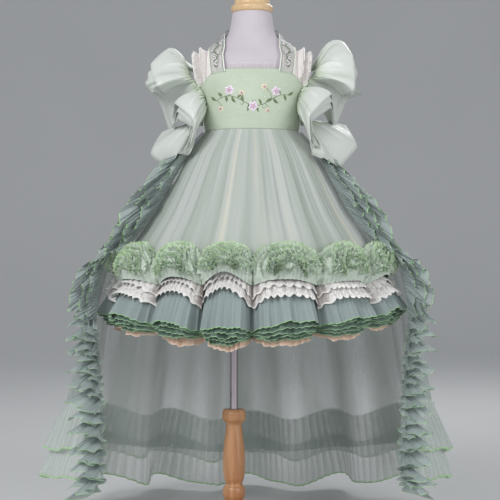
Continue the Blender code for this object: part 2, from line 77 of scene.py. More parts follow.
# %% [markdown]
# ## Smooth curves through short tables
# A dressmaker measures a form at a few heights. The same is done here: a short table gives the sizes, and
# one function draws a smooth curve through them. A second one eases from 0 to 1, for everything that fades
# in.


# %% Curves and eases
def between(table, key, column):
    """The column's value at this key, on a smooth curve through the table's rows."""
    rows = table if table[0][0] < table[-1][0] else table[::-1]
    if key <= rows[0][0]:
        return rows[0][column]
    if key >= rows[-1][0]:
        return rows[-1][column]
    i = max(k for k in range(len(rows) - 1) if rows[k][0] <= key)
    here, after = rows[i], rows[i + 1]
    before, beyond = rows[max(i - 1, 0)], rows[min(i + 2, len(rows) - 1)]
    span = after[0] - here[0]
    t = (key - here[0]) / span
    slope_here = (after[column] - before[column]) / (after[0] - before[0]) * span
    slope_after = (beyond[column] - here[column]) / (beyond[0] - here[0]) * span
    return (
        (2 * t**3 - 3 * t**2 + 1) * here[column]
        + (t**3 - 2 * t**2 + t) * slope_here
        + (3 * t**2 - 2 * t**3) * after[column]
        + (t**3 - t**2) * slope_after
    )


def ease(low, high, value):
    """0 up to low, 1 from high on, and smooth between them."""
    t = min(max((value - low) / (high - low), 0.0), 1.0)
    return t * t * (3 - 2 * t)


def within(value):
    """The value, kept from -1 to 1."""
    return max(-1.0, min(1.0, value))


def uneven(angle, features, seed):
    """A smooth uneven value from -1 to 1 that closes up round a circle, with about this many features."""
    size = features / math.tau
    a = math.radians(angle)
    return 1.6 * noise.noise(Vector((size * math.cos(a), size * math.sin(a), 3.7 * seed)))


def uneven_line(distance, seed):
    """A smooth uneven value from -1 to 1 along a line."""
    return 1.6 * noise.noise(Vector((distance, 5.3 * seed, 0.0)))


# %% [markdown]
# ## The wearer's trunk and the gown's layers
# Every layer is measured from two forms: the child's trunk under the bodice, and the round bell of the
# skirt. The tables are the solids' own, so that each sheet lies where its solid does.

# %% Sizes of the form and the layers
GOWN_AXIS_X = 0.036
WAIST_Z = 0.786
# The skirt and the train are gathered in just under the waist, and the skirt ends under the bunches
GATHER_Z = 0.7852
SKIRT_EDGE_Z = 0.490
# This far below the waist the bell is round
ROUND_BELOW = 0.186
CHEST_TOP_Z = 0.904
ARMPIT_Z = 0.866
TRUNK = (
    # height, half width, half depth
    (0.620, 0.092, 0.080),
    (0.700, 0.097, 0.084),
    (WAIST_Z, 0.090, 0.077),
    (0.830, 0.097, 0.079),
    (0.866, 0.103, 0.080),
    (0.905, 0.107, 0.077),
    (0.930, 0.103, 0.071),
    (0.946, 0.090, 0.063),
    (0.958, 0.074, 0.057),
    (0.970, 0.057, 0.051),
    (0.988, 0.047, 0.046),
    (1.024, 0.041, 0.041),
)
SKIRT = (
    # height, radius, share of each bunch's crease
    (GATHER_Z, 0.0934, 0.0),
    (0.740, 0.128, 0.0),
    (0.690, 0.156, 0.0),
    (0.620, 0.195, 0.0),
    (0.556, 0.240, 0.08),
    (0.522, 0.252, 0.55),
    (SKIRT_EDGE_Z, 0.2565, 1.0),
)
BUNCHES = (
    # angle where one starts, lift of its lace, height of its hem
    (-72.0, 0.014, 0.408),
    (-42.0, 0.020, 0.396),
    (-21.0, 0.030, 0.388),
    (0.0, 0.016, 0.396),
    (28.0, 0.012, 0.404),
    (54.0, 0.022, 0.416),
    (81.0, 0.018, 0.412),
    (110.0, 0.024, 0.404),
    (139.0, 0.018, 0.398),
    (168.0, 0.026, 0.400),
    (197.0, 0.018, 0.402),
    (230.0, 0.022, 0.408),
)
CREASE_DEPTH = 0.032


def round_axis(angle, half_width, half_depth, z):
    """A point on an oval round the gown's axis: 0 is the front, 90 is the side towards +X."""
    a = math.radians(angle)
    return Vector((GOWN_AXIS_X + half_width * math.sin(a), -half_depth * math.cos(a), z))


def on_trunk(angle, z, offset):
    """A point this far outside the wearer's trunk."""
    return round_axis(angle, between(TRUNK, z, 1) + offset, between(TRUNK, z, 2) + offset, z)


def bodice_top(angle):
    """The bodice's top edge dips from the chest to the armpit and rises a little at the back."""
    a = abs(angle)
    if a <= 90:
        return CHEST_TOP_Z - (CHEST_TOP_Z - ARMPIT_Z) * ease(32, 84, a)
    return ARMPIT_Z + 0.018 * ease(90, 140, a)


def bunch_end(i):
    """The angle where a bunch ends and the next one starts."""
    return BUNCHES[i + 1][0] if i + 1 < len(BUNCHES) else BUNCHES[0][0] + 360


def bunch_at(angle):
    """Which bunch of the flounce this angle is in, and how far through it."""
    first = BUNCHES[0][0]
    a = (angle - first) % 360 + first
    i = max(k for k in range(len(BUNCHES)) if BUNCHES[k][0] <= a + 1e-9)
    return i, (a - BUNCHES[i][0]) / (bunch_end(i) - BUNCHES[i][0])


def bunch_angle(u):
    """The angle of a column, with the same number of columns to each bunch."""
    place = u * len(BUNCHES)
    i = min(int(place + 1e-6), len(BUNCHES) - 1)
    return BUNCHES[i][0] + (bunch_end(i) - BUNCHES[i][0]) * (place - i)


def crease(angle):
    """1 in the fold between two bunches, 0 in the middle of one."""
    return 1 - math.sqrt(max(math.sin(math.pi * bunch_at(angle)[1]), 0.0))


def arch(angle):
    """0 in the folds, 1 in the middle of a bunch."""
    return math.sin(math.pi * bunch_at(angle)[1])


def bunch_value(angle, column):
    """The bunch's value in its middle, shared with the neighbour's at a fold."""
    i, t = bunch_at(angle)
    here = BUNCHES[i][column]
    other = BUNCHES[i - 1 if t < 0.5 else (i + 1) % len(BUNCHES)][column]
    return here + (other - here) * (0.5 - 0.5 * ease(0.0, 0.5, min(t, 1 - t)))


def bell_point(angle, radius, z):
    """A point of the skirt or train: round below the hips, and the waist's oval at the top."""
    waist_oval = (between(TRUNK, WAIST_Z, 2) + 0.0034) / SKIRT[0][1]
    oval = waist_oval + (1 - waist_oval) * ease(0.0, ROUND_BELOW, WAIST_Z - z)
    return round_axis(angle, radius, radius * oval, z)


def skirt_radius(angle, z):
    """The skirt's bell, drawn in where the bunches fold."""
    return between(SKIRT, z, 1) - CREASE_DEPTH * between(SKIRT, z, 2) * crease(angle)


print("trunk:", len(TRUNK), "heights, flounce:", len(BUNCHES), "bunches")

# %% [markdown]
# ## Materials
# A material here starts from the real cloth: what its fibre is, how it was knitted or woven, and what that
# does to light. One function turns a colour chart's hex value into the linear light that the shader works
# in, and one adds a node with its settings and links, so that every recipe below reads as a short list.


# %% Colour and node helpers
def linear(hex_colour):
    """A hex sRGB colour as linear red, green, blue and alpha."""
    parts = [int(hex_colour[i : i + 2], 16) / 255 for i in (1, 3, 5)]
    return (*[p / 12.92 if p <= 0.04045 else ((p + 0.055) / 1.055) ** 2.4 for p in parts], 1.0)


def add_node(tree, kind, settings=None, output=0):
    """A new node's output. A setting is a property or input, with a value, a hex colour or another output."""
    made = tree.nodes.new(kind)
    for key, value in (settings or {}).items():
        if isinstance(key, str) and hasattr(made, key):
            setattr(made, key, value)
        elif isinstance(value, bpy.types.NodeSocket):
            tree.links.new(value, made.inputs[key])
        else:
            made.inputs[key].default_value = linear(value) if isinstance(value, str) else value
    return made.outputs[output]


def new_material(name, **settings):
    """A material, its node tree and its shader, with constants set on the shader's own sockets."""
    material = bpy.data.materials.new(name)
    material.use_nodes = True
    tree = material.node_tree
    shader = tree.nodes["Principled BSDF"]
    for key, value in settings.items():
        shader.inputs[key.replace("_", " ")].default_value = value
    return material, tree, shader


def layered(tree, base, *layers):
    """A colour with others laid over it, each growing as its pattern goes from low to high."""
    colour = base
    for pattern, low, high, tint in layers:
        share = add_node(tree, "ShaderNodeMapRange", {"From Min": low, "From Max": high, "Value": pattern})
        colour = add_node(tree, "ShaderNodeMix", {"data_type": "RGBA", 0: share, 6: colour, 7: tint}, 2)
    return colour


def streaks(tree, across_mm, along_mm, detail=2.0):
    """Noise drawn out along the cloth's fall, with features this wide and long on its flat cut."""
    cut = add_node(tree, "ShaderNodeUVMap", {"uv_map": "Cut"})
    scale = (1000 / across_mm, 1000 / along_mm, 1.0)
    placed = add_node(tree, "ShaderNodeMapping", {"Scale": scale, "Vector": cut})
    settings = {"Scale": 1.0, "Detail": detail, "Roughness": 0.55, "Vector": placed}
    return add_node(tree, "ShaderNodeTexNoise", settings)


def surface(tree, shader, colour, height, depth_mm):
    """Gives the shader its colour and a relief, which is this deep where the height pattern is 1."""
    tree.links.new(colour, shader.inputs["Base Color"])
    settings = {"Strength": 1.0, "Distance": depth_mm / 1000, "Height": height}
    tree.links.new(add_node(tree, "ShaderNodeBump", settings), shader.inputs["Normal"])


print("view transform:", bpy.context.scene.view_settings.view_transform)

# %% [markdown]
# ## Tulle
# Tulle is nylon net, knitted with holes of about a millimetre, so thin that one layer is a veil and a
# gathered one nearly opaque. Each crest of a gather is one layer and pale, and each valley stacks several
# and is deep; over that, the valleys are darkened with painted shade and the crests lightened with painted
# light. Every sheet carries its folds, with painted shade added, as an attribute from -1 in a valley to 1
# on a crest. A second one, Hem, is the distance to the free edge in millimetres, where a rolled hem is
# overlocked in green thread.


# %% Tulle materials
def tulle(name, valley, crest, rolled=None, opacity=1.0, across_mm=3.0, rolled_mm=1.6):
    """Nylon net in two tones by its folds, as painted shade and light, with fine gathers drawn out along its
    fall and a rolled edge.
    """
    material, tree, shader = new_material(name, Roughness=0.75, Sheen_Weight=0.25, Sheen_Roughness=0.4)
    shader.inputs["Specular IOR Level"].default_value = 0.25
    fold = add_node(tree, "ShaderNodeAttribute", {"attribute_name": "FoldShade"}, "Fac")
    fine = streaks(tree, across_mm, 140.0)
    # The folds' painted shade and light give a tone of half their value, and the fine gathers' painted shade
    # is added with less contrast
    spread = 0.5 / 0.75
    settings = {"From Min": 0.5 - spread, "From Max": 0.5 + spread, "Value": fine}
    soft = add_node(tree, "ShaderNodeMapRange", settings)
    painted_fold_tone = add_node(tree, "ShaderNodeMath", {"operation": "MULTIPLY_ADD", 0: fold, 1: 0.5, 2: soft})
    # The net's real holes are near 1 mm, too fine to show, so they are drawn at 1.6 mm as a faint texture
    cut = add_node(tree, "ShaderNodeUVMap", {"uv_map": "Cut"})
    settings = {"feature": "DISTANCE_TO_EDGE", "Scale": 1000 / 1.6, "Vector": cut}
    holes = add_node(tree, "ShaderNodeTexVoronoi", settings)
    layers = [(painted_fold_tone, 0.0, 1.0, crest), (holes, 1.2, 0.0, crest)]
    if rolled:
        hem = add_node(tree, "ShaderNodeAttribute", {"attribute_name": "Hem"}, "Fac")
        layers.append((hem, rolled_mm + 0.6, rolled_mm, rolled))
    surface(tree, shader, layered(tree, valley, *layers), fine, 0.5)
    if opacity < 1:
        # A crest is one layer and seen through. In a valley the layers close up, and the rolled edge is solid
        settings = {"From Min": 1.1, "From Max": -0.3, "To Min": opacity, "Value": painted_fold_tone}
        closed = add_node(tree, "ShaderNodeMapRange", settings)
        if rolled:
            settings = {"From Min": rolled_mm + 0.6, "From Max": rolled_mm, "Value": hem}
            edge = add_node(tree, "ShaderNodeMapRange", settings)
            closed = add_node(tree, "ShaderNodeMath", {"operation": "MAXIMUM", 0: closed, 1: edge})
        tree.links.new(closed, shader.inputs["Alpha"])
    return material


# Soft nylon net in three tints laid over each other, which the eye reads as pale grey green with warm streaks
skirt_net = tulle("Soft nylon tulle in layers", "#A6ACA9", "#BDC2BE", across_mm=9.0)
# The flounce's net is cut across and overlocked, which gives it crisp pleats and a rolled pale green edge
ruffle_net = tulle("Pleated nylon tulle with rolled edge", "#55625F", "#95A2A1", "#9CC592")
# The same net bunched so tightly that only its edges and deep folds show
bunch_net = tulle("Bunched nylon tulle", "#9FB49A", "#CDD8CC")
# Overlocked edges stretched as they were sewn, so that they curl like lettuce leaves
curl_net = tulle("Curled tulle edging", "#AABEA3", "#D4DDD4", "#BFDBAF", across_mm=4.0, rolled_mm=1.0)
# Under layers catch less light, so their darker tone is painted shade, and they take up the green of the
# edges around them
shaded_under_net = tulle("Green under tulle, painted shade", "#3F5146", "#6A8072", "#9DBF98", rolled_mm=1.3)
# Stiff net in a warm skin tone, to hold the skirt out
blush_net = tulle("Stiff blush petticoat net", "#C39A80", "#E8C9B2", "#EFD8C4", across_mm=4.0)
# One layer of the finest net, seen through: only its folds, where two or three layers lie together, are solid
sheer_net = tulle("Sheer train tulle", "#8E9B97", "#B3BFBA", opacity=0.32, across_mm=16.0)
tier_net = tulle(
    "Gathered hem tulle with rolled edge", "#9FABA6", "#D2DAD6", "#B2D3A6", opacity=0.42, across_mm=5.0,
    rolled_mm=3.0,
)
cascade_net = tulle(
    "Fluted tulle with rolled edge", "#72827E", "#A6B3B1", "#A9CC9E", opacity=0.66, across_mm=4.0
)
print("tulles:", len(bpy.data.materials), "materials with the frame's own")

# %% [markdown]
# ## Cutting a sheet
# Cloth starts flat. A grid is made, and a function says where each of its points hangs: u runs along the
# seam and v from the seam to the free edge. The area that the hung sheet measures, divided by its height,
# gives the width that was cut, so the UV map is the flat cut in metres and a pattern on it has its real
# size.


# %% The cloth helper
def cloth(
    name, columns, rows, places, material, height, *, closed=False, wall=0.0,
    on_it=(), own_solid=True,
):
    """Hung strips of one sheet, which stands for the solid of its name unless it has no solid of its own.

    Each place(u, v) gives a point and its fold, from -1 in a valley to 1 on a crest, which the materials
    paint as shade and light.
    """
    bm = bmesh.new()
    cut = bm.loops.layers.uv.new("Cut")
    folds = bm.verts.layers.float.new("FoldShade")
    hems = bm.verts.layers.float.new("Hem")
    places = places if isinstance(places, list) else [places]
    for number, place in enumerate(places):
        grid = bmesh.ops.create_grid(bm, x_segments=columns, y_segments=rows, size=0.5)["verts"]
        for face in {face for vert in grid for face in vert.link_faces}:
            for loop in face.loops:
                loop[cut].uv = (number + loop.vert.co.x + 0.5, loop.vert.co.y + 0.5)
        for vert in grid:
            u, v = vert.co.x + 0.5, vert.co.y + 0.5
            vert[hems] = (1 - v) * height * 1000
            vert.co, vert[folds] = place(u, v)
    if closed:
        bmesh.ops.remove_doubles(bm, verts=bm.verts, dist=0.00002)
    width = sum(face.calc_area() for face in bm.faces) / height
    for face in bm.faces:
        for loop in face.loops:
            loop[cut].uv = (loop[cut].uv.x * width / len(places), loop[cut].uv.y * height)
    obj = finished(bm, name, material, [name] if own_solid else [])
    if wall:
        solid = obj.modifiers.new("Wall", "SOLIDIFY")
        solid.thickness = wall
        solid.offset = 0.0
    print(f"{name}: cut {width:.2f} x {height:.3f} m, {len(obj.data.polygons)} faces")


def finished(bm, name, material, nodes=(), angle=60):
    """The bmesh as a piece of the object, which rides on its one body and stands for these nodes."""
    mesh = bpy.data.meshes.new(name)
    bm.to_mesh(mesh)
    bm.free()
    mesh.shade_smooth()
    mesh.set_sharp_from_angle(angle=math.radians(angle))
    mesh.materials.append(material)
    obj = bpy.data.objects.new(name, mesh)
    bpy.context.scene.collection.objects.link(obj)
    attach(obj, "root")
    if nodes:
        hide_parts(*nodes)
    return obj


# %% [markdown]
# ## The stand
# A display form stands on a turned beech column with a steel pole and a wooden cap. Turned wood is what
# spin is for: the profile is a row of points, spun once round the axis. The foot is out of sight in the
# photograph, so it is a plain disc. Beech has a close, straight grain with short dark flecks, under a satin
# varnish.


# %% Wood and chrome
def beech(name, pale, dark):
    """Straight-grained wood: rings stretched along Z, with fine flecks a few millimetres long."""
    material, tree, shader = new_material(name, Roughness=0.38, Coat_Weight=0.25, Coat_Roughness=0.25)
    place = add_node(tree, "ShaderNodeTexCoord", output="Object")
    # Bands of 18 mm across and 170 mm along, and flecks 1.1 mm wide and 6 mm long
    stretched = add_node(tree, "ShaderNodeMapping", {"Scale": (55.0, 55.0, 6.0), "Vector": place})
    settings = {"Scale": 1.0, "Detail": 4.0, "Distortion": 0.6, "Vector": stretched}
    grain = add_node(tree, "ShaderNodeTexNoise", settings)
    short = add_node(tree, "ShaderNodeMapping", {"Scale": (900.0, 900.0, 160.0), "Vector": place})
    fleck = add_node(tree, "ShaderNodeTexNoise", {"Scale": 1.0, "Detail": 1.0, "Vector": short})
    surface(tree, shader, layered(tree, pale, (grain, 0.3, 0.7, dark), (fleck, 0.62, 0.9, dark)), fleck, 0.05)
    return material


beech_pale = beech("Pale beech, varnished", "#E3C79F", "#CDA778")
beech_turned = beech("Turned beech, varnished", "#CF9E74", "#A9744C")

chrome_tube, tree, shader = new_material("Chromed steel tube", Metallic=1.0, Roughness=0.16)
place = add_node(tree, "ShaderNodeTexCoord", output="Object")
wiped = add_node(tree, "ShaderNodeTexNoise", {"Scale": 60.0, "Detail": 2.0, "Vector": place})
tree.links.new(layered(tree, "#CFC6CB", (wiped, 0.0, 1.0, "#BDB2BA")), shader.inputs["Base Color"])


# %% Turned pieces
def turned(name, profile, material, centre_x=0.0, sides=72):
    """A closed piece turned about an upright axis, from (radius, height) points."""
    bm = bmesh.new()
    points = [bm.verts.new((radius, 0.0, z)) for radius, z in profile]
    edges = [bm.edges.new(pair) for pair in zip(points, points[1:])]
    bmesh.ops.spin(
        bm, geom=points + edges, cent=(0, 0, 0), axis=(0, 0, 1), angle=math.tau, steps=sides, use_merge=True
    )
    bmesh.ops.remove_doubles(bm, verts=bm.verts, dist=0.00002)
    bmesh.ops.holes_fill(bm, edges=[edge for edge in bm.edges if edge.is_boundary])
    bmesh.ops.recalc_face_normals(bm, faces=bm.faces)
    bmesh.ops.translate(bm, verts=bm.verts, vec=(centre_x, 0, 0))
    obj = finished(bm, name, material, [name], angle=38)
    print(f"{name}: {len(obj.data.polygons)} faces")


def smooth_profile(rows, steps):
    """Points on a curve through (height, radius) rows, as (radius, height)."""
    low, high = rows[0][0], rows[-1][0]
    return [(between(rows, z, 1), z) for z in [low + (high - low) * k / steps for k in range(steps + 1)]]


COLUMN_PROFILE = (
    # height, radius
    (0.0183, 0.0200),
    (0.0240, 0.0228),
    (0.0460, 0.0230),
    (0.0510, 0.0182),
    (0.0570, 0.0212),
    (0.0670, 0.0226),
    (0.0760, 0.0212),
    (0.0820, 0.0166),
    (0.0950, 0.0203),
    (0.1250, 0.0226),
    (0.1580, 0.0206),
    (0.1900, 0.0168),
    (0.2030, 0.0164),
    (0.2110, 0.0228),
    (0.2200, 0.0236),
    (0.2270, 0.0232),
    (0.2318, 0.0200),
)
CAP_PROFILE = (
    # height, radius
    (1.0243, 0.0396),
    (1.0262, 0.0412),
    (1.0330, 0.0420),
    (1.0372, 0.0404),
    (1.0392, 0.0366),
    (1.0450, 0.0356),
    (1.0520, 0.0330),
    (1.0570, 0.0262),
    (1.0598, 0.0120),
)
turned("column", smooth_profile(COLUMN_PROFILE, 110), beech_turned)
turned("neck_cap", smooth_profile(CAP_PROFILE, 44), beech_pale, GOWN_AXIS_X)
base_profile = [(0.1418, 0.0), (0.1442, 0.0008), (0.1450, 0.003), (0.1450, 0.011), (0.1442, 0.0132)]
base_profile += [(0.1424, 0.0148), (0.1370, 0.0176), (0.1330, 0.018), (0.030, 0.018)]
turned("base", base_profile, beech_turned, sides=120)
turned("pole", [(0.0085, 0.2325), (0.0085, 0.6195)], chrome_tube, sides=48)

# %% [markdown]
# ## The form's body
# The form is a smooth shell under stretched cotton jersey, a pale lavender white. Rings from the trunk's
# table are bridged one to the next. Jersey is knitted, so its surface is a fine soft grain, drawn at two
# millimetres because the real stitches are too fine to show. A faint seam ring runs round the base of the
# neck.

# %% Jersey form
jersey, tree, shader = new_material(
    "Stretched cotton jersey", Roughness=0.85, Sheen_Weight=0.3, Sheen_Roughness=0.5
)
place = add_node(tree, "ShaderNodeTexCoord", output="Object")
knit = add_node(tree, "ShaderNodeTexVoronoi", {"Scale": 1000 / 2.0, "Vector": place})
cloud = add_node(tree, "ShaderNodeTexNoise", {"Scale": 14.0, "Detail": 3.0, "Vector": place})
colour = layered(tree, "#C4BCC4", (cloud, 0.3, 0.7, "#CFC8CF"), (knit, 0.9, 2.4, "#B6ADB8"))
surface(tree, shader, colour, knit, 0.12)

FORM_BOTTOM_Z = 0.620
FORM_TOP_Z = 1.024
NECK_SEAM_Z = 0.9515
RINGS = 91
bm = bmesh.new()
rings = []
for k in range(RINGS):
    z = FORM_BOTTOM_Z + (FORM_TOP_Z - FORM_BOTTOM_Z) * k / (RINGS - 1)
    rounded = 0.80 + 0.20 * ease(FORM_BOTTOM_Z, FORM_BOTTOM_Z + 0.02, z)
    groove = 0.0007 * math.exp(-(((z - NECK_SEAM_Z) / 0.0016) ** 2))
    half_width, half_depth = [rounded * (between(TRUNK, z, c) - 0.0020) - groove for c in (1, 2)]
    ring = bmesh.ops.create_circle(bm, segments=96, radius=1.0)["verts"]
    for vert in ring:
        vert.co = (GOWN_AXIS_X + vert.co.x * half_width, vert.co.y * half_depth, z)
    rings.append({edge for vert in ring for edge in vert.link_edges})
for lower, upper in zip(rings, rings[1:]):
    bmesh.ops.bridge_loops(bm, edges=list(lower | upper))
bmesh.ops.holes_fill(bm, edges=[edge for edge in bm.edges if edge.is_boundary])
bmesh.ops.recalc_face_normals(bm, faces=bm.faces)
form = finished(bm, "form_body", jersey, ["form_body"], angle=38)
print("form_body:", len(form.data.polygons), "faces")

# %% [markdown]
# ## The bodice
# The bodice is cut from matte sage crepe: a front and two backs that meet at a plain seam, with side seams
# under the arms. Crepe's hard-twisted threads give it a dry, pebbly face. A few soft drag lines run from
# the armpits to the chest, where the cloth is pulled across. They are placed one by one, as low ridges.

# %% Crepe
crepe, tree, shader = new_material(
    "Polyester crepe, sage", Roughness=0.72, Sheen_Weight=0.25, Sheen_Roughness=0.35
)
grain = streaks(tree, 1.3, 1.3, detail=3.0)
twist = streaks(tree, 0.9, 5.0, detail=1.0)
shade = streaks(tree, 60.0, 45.0, detail=1.0)
colour = layered(tree, "#BCC9B4", (shade, 0.25, 0.75, "#CAD4C2"), (grain, 0.55, 0.85, "#AEBDA5"))
pebbles = add_node(tree, "ShaderNodeMath", {"operation": "ADD", 0: grain, 1: twist})
surface(tree, shader, colour, pebbles, 0.10)

DRAG_WIDTH = 0.0042
DRAG_LINES = (
    # start angle, start height, end angle, end height, rise
    (74.0, 0.866, 46.0, 0.887, 0.0016),
    (78.0, 0.852, 58.0, 0.866, 0.0010),
    (-76.0, 0.862, -52.0, 0.882, 0.0011),
    (-78.0, 0.842, -60.0, 0.850, 0.0008),
    (70.0, 0.803, 44.0, 0.796, 0.0007),
    (-68.0, 0.806, -40.0, 0.797, 0.0008),
)


def drag(angle, z):
    """Height of the drag lines at a point of the bodice, in metres."""
    total = 0.0
    for start, start_z, end, end_z, rise in DRAG_LINES:
        along = (angle - start) / (end - start)
        if 0.0 < along < 1.0:
            line_z = start_z + (end_z - start_z) * along
            total += rise * math.exp(-(((z - line_z) / DRAG_WIDTH) ** 2)) * math.sin(math.pi * along) ** 0.7
    return total


# %% [markdown]
# ## Embroidery on the bodice
# The bodice's front carries fine embroidery: stems in stem stitch, leaves and petals in satin stitch, and
# seed pearls. The design here is a plain garland of its own, in the same colours and scale. Satin stitch is
# threads laid side by side until they stand up from the cloth, so each leaf or petal is a small grid,
# rounded across, laid along its own path on the bodice, with the threads as fine lines in the material.


# %% Stitches
def on_bodice(x, z, lift):
    """A point of the bodice's front this far to the side of its centre, raised above its face."""
    angle = math.degrees(math.asin(max(-0.97, min(0.97, x / (between(TRUNK, z, 1) + 0.0045)))))
    return on_trunk(angle, z, 0.0043 + lift + drag(angle, z))


def stitch(bm, path, width, height, columns, over=on_bodice):
    """Threads laid across a path, which is rounded and this wide: path(u) gives side and height in metres."""
    cut = bm.loops.layers.uv.get("Cut") or bm.loops.layers.uv.new("Cut")
    length = sum((Vector(path((k + 1) / 12)) - Vector(path(k / 12))).length for k in range(12))
    grid = bmesh.ops.create_grid(bm, x_segments=columns, y_segments=4, size=0.5)["verts"]
    for face in {face for vert in grid for face in vert.link_faces}:
        for loop in face.loops:
            loop[cut].uv = ((loop.vert.co.x + 0.5) * length, loop.vert.co.y * 0.004)
    for vert in grid:
        u, v = vert.co.x + 0.5, vert.co.y
        x, z = path(u)
        ahead = Vector(path(min(u + 0.02, 1))) - Vector(path(max(u - 0.02, 0)))
        across = Vector((-ahead.y, ahead.x)).normalized() * (v * width(u))
        # The threads' ends sink a little into the cloth
        vert.co = over(x + across.x, z + across.y, height * math.cos(math.pi * v) - 0.0004)


def leaf_width(width, start=0.0, rate=1.02, end=1.0, power=0.8, least=0.0):
    """How wide a leaf or petal is along its length: widest in the middle and narrow at both ends."""
    return lambda u: width * math.sin(math.pi * min(start + rate * u, end)) ** power + least


def leaf_path(x, z, length, turn, bend):
    """From a point, a curve of this length that starts towards turn (0 is up) and bends by bend."""

    def path(u):
        a = math.radians(turn + bend * u * 0.5)
        return x + math.sin(a) * length * u, z + math.cos(a) * length * u

    return path


def curl_path(x, z, size, turn, hand):
    """A tendril that winds in on itself."""

    def path(u):
        a = math.radians(turn) + hand * 4.6 * u**1.2
        r = size * (1 - 0.78 * u)
        centre_x, centre_z = x + size * math.cos(math.radians(turn)), z + size * math.sin(math.radians(turn))
        return centre_x - r * math.cos(a), centre_z - r * math.sin(a)

    return path


def thread(name, colour, deeper):
    """Stranded cotton: a soft sheen, and the threads' lines 0.5 mm apart, drawn at 0.8."""
    material, tree, shader = new_material(name, Roughness=0.5, Sheen_Weight=0.4, Sheen_Roughness=0.3)
    lines = streaks(tree, 0.8, 9.0, detail=1.0)
    surface(tree, shader, layered(tree, deeper, (lines, 0.35, 0.65, colour)), lines, 0.25)
    return material


# %% The garland
def vine(u):
    """The garland's stem, which wanders across the front of the bodice."""
    return -0.070 + 0.140 * u, 0.8395 + 0.0105 * math.sin(math.tau * (1.25 * u + 0.05)) + 0.004 * u


LEAVES = (
    # place along the vine, length, direction, bend
    (0.00, 0.013, -70, 40),
    (0.08, 0.012, -20, -50),
    (0.13, 0.011, 150, 40),
    (0.22, 0.014, 175, -50),
    (0.30, 0.012, 20, 60),
    (0.38, 0.013, -30, 40),
    (0.45, 0.014, 165, 50),
    (0.58, 0.013, 195, -40),
    (0.62, 0.012, 10, -60),
    (0.70, 0.014, 35, 50),
    (0.80, 0.013, 160, -50),
    (0.88, 0.012, 20, -40),
    (0.94, 0.012, 140, 40),
    (1.00, 0.013, 75, -40),
)
TENDRILS = (
    # place along the vine, size, direction, hand
    (0.16, 0.0060, 80, 1),
    (0.34, 0.0065, -80, -1),
    (0.52, 0.0070, 70, -1),
    (0.66, 0.0060, -70, 1),
    (0.84, 0.0065, 100, -1),
)
BLOSSOMS = (
    # side, height, petal length, which colours, turn
    (-0.0445, 0.8620, 0.0100, "lilac", 10),
    (0.0020, 0.8300, 0.0105, "lilac", 30),
    (0.0470, 0.8600, 0.0100, "lilac", -8),
    (-0.0200, 0.8560, 0.0068, "cream", 0),
    (0.0240, 0.8680, 0.0072, "cream", 20),
    (-0.0610, 0.8260, 0.0060, "cream", 40),
    (0.0300, 0.8220, 0.0058, "cream", 15),
)
PEARLS = (
    (-0.058, 0.850), (-0.034, 0.874), (-0.028, 0.826), (-0.010, 0.876), (0.004, 0.862), (0.014, 0.812),
    (-0.014, 0.814), (0.038, 0.882), (0.060, 0.842), (0.052, 0.824), (-0.046, 0.812), (0.010, 0.886),
    (-0.066, 0.862), (0.066, 0.872), (-0.022, 0.890), (0.024, 0.848),
)
leaves, lilac, cream, pale, pearls = (bmesh.new() for _ in range(5))
stitch(leaves, vine, lambda u: 0.0013, 0.0009, 120)
for place, length, turn, bend in LEAVES:
    shape = leaf_path(*vine(place), length, turn, bend)
    stitch(leaves, shape, leaf_width(0.0058, least=0.0004), 0.0010, 12)
for place, size, turn, hand in TENDRILS:
    stitch(leaves, curl_path(*vine(place), size, turn, hand), lambda u: 0.0011 * (1 - 0.5 * u), 0.0009, 36)
for x, z, size, colour, turn in BLOSSOMS:
    nearest = min((k / 40 for k in range(41)), key=lambda u: (Vector(vine(u)) - Vector((x, z))).length)
    foot = Vector(vine(nearest))

    def stalk(u, foot=foot, x=x, z=z):
        return tuple(foot.lerp(Vector((x, z)), u) + Vector((0.004 * math.sin(math.pi * u), 0)))

    stitch(leaves, stalk, lambda u: 0.0011, 0.0008, 16)
    # A lilac blossom has five pale petals, lilac hearts and cream knots, a cream one eight and lilac knots
    petals, share, outer, knots = (5, 0.95, pale, cream) if colour == "lilac" else (8, 0.45, cream, lilac)
    wide = size * share
    for k in range(petals):
        away = turn + k * 360 / petals
        stitch(outer, leaf_path(x, z, size, away, 0), leaf_width(wide, 0.08, 0.87, power=0.7), 0.0014, 10)
        if colour == "lilac":
            stitch(lilac, leaf_path(x, z, size * 0.72, away, 0), leaf_width(0.5 * wide, 0.1, 1.0), 0.0020, 8)
    for k in range(7):
        spot = Vector((x, z)) + (0.0016 * Vector((math.cos(k), math.sin(k))) if k else Vector((0, 0)))
        knot = bmesh.ops.create_icosphere(knots, subdivisions=1, radius=0.0008)
        bmesh.ops.translate(knots, vec=on_bodice(*spot, 0.0018), verts=knot["verts"])
for x, z in PEARLS:
    bead = bmesh.ops.create_icosphere(pearls, subdivisions=2, radius=0.0014)
    bmesh.ops.translate(pearls, vec=on_bodice(x, z, 0.0006), verts=bead["verts"])
moss_thread = thread("Moss green stranded cotton", "#7A8A66", "#61734E")
lilac_thread = thread("Lilac stranded cotton", "#DDB4DC", "#C892C8")
cream_thread = thread("Cream stranded cotton", "#F3EBD6", "#E8DDBE")
pale_thread = thread("White stranded cotton", "#F1ECEF", "#DDD2DC")
pearl, _, _ = new_material("Seed pearls", Roughness=0.22, Coat_Weight=0.5, Sheen_Weight=0.2)
pearl.node_tree.nodes["Principled BSDF"].inputs["Base Color"].default_value = linear("#F0EEE8")
embroidery = [
    finished(leaves, "embroidery_leaves", moss_thread),
    finished(pale, "embroidery_petals", pale_thread),
    finished(lilac, "embroidery_lilac", lilac_thread),
    finished(cream, "embroidery_cream", cream_thread),
    finished(pearls, "embroidery_pearls", pearl),
]
print("embroidery:", sum(len(piece.data.polygons) for piece in embroidery), "faces")


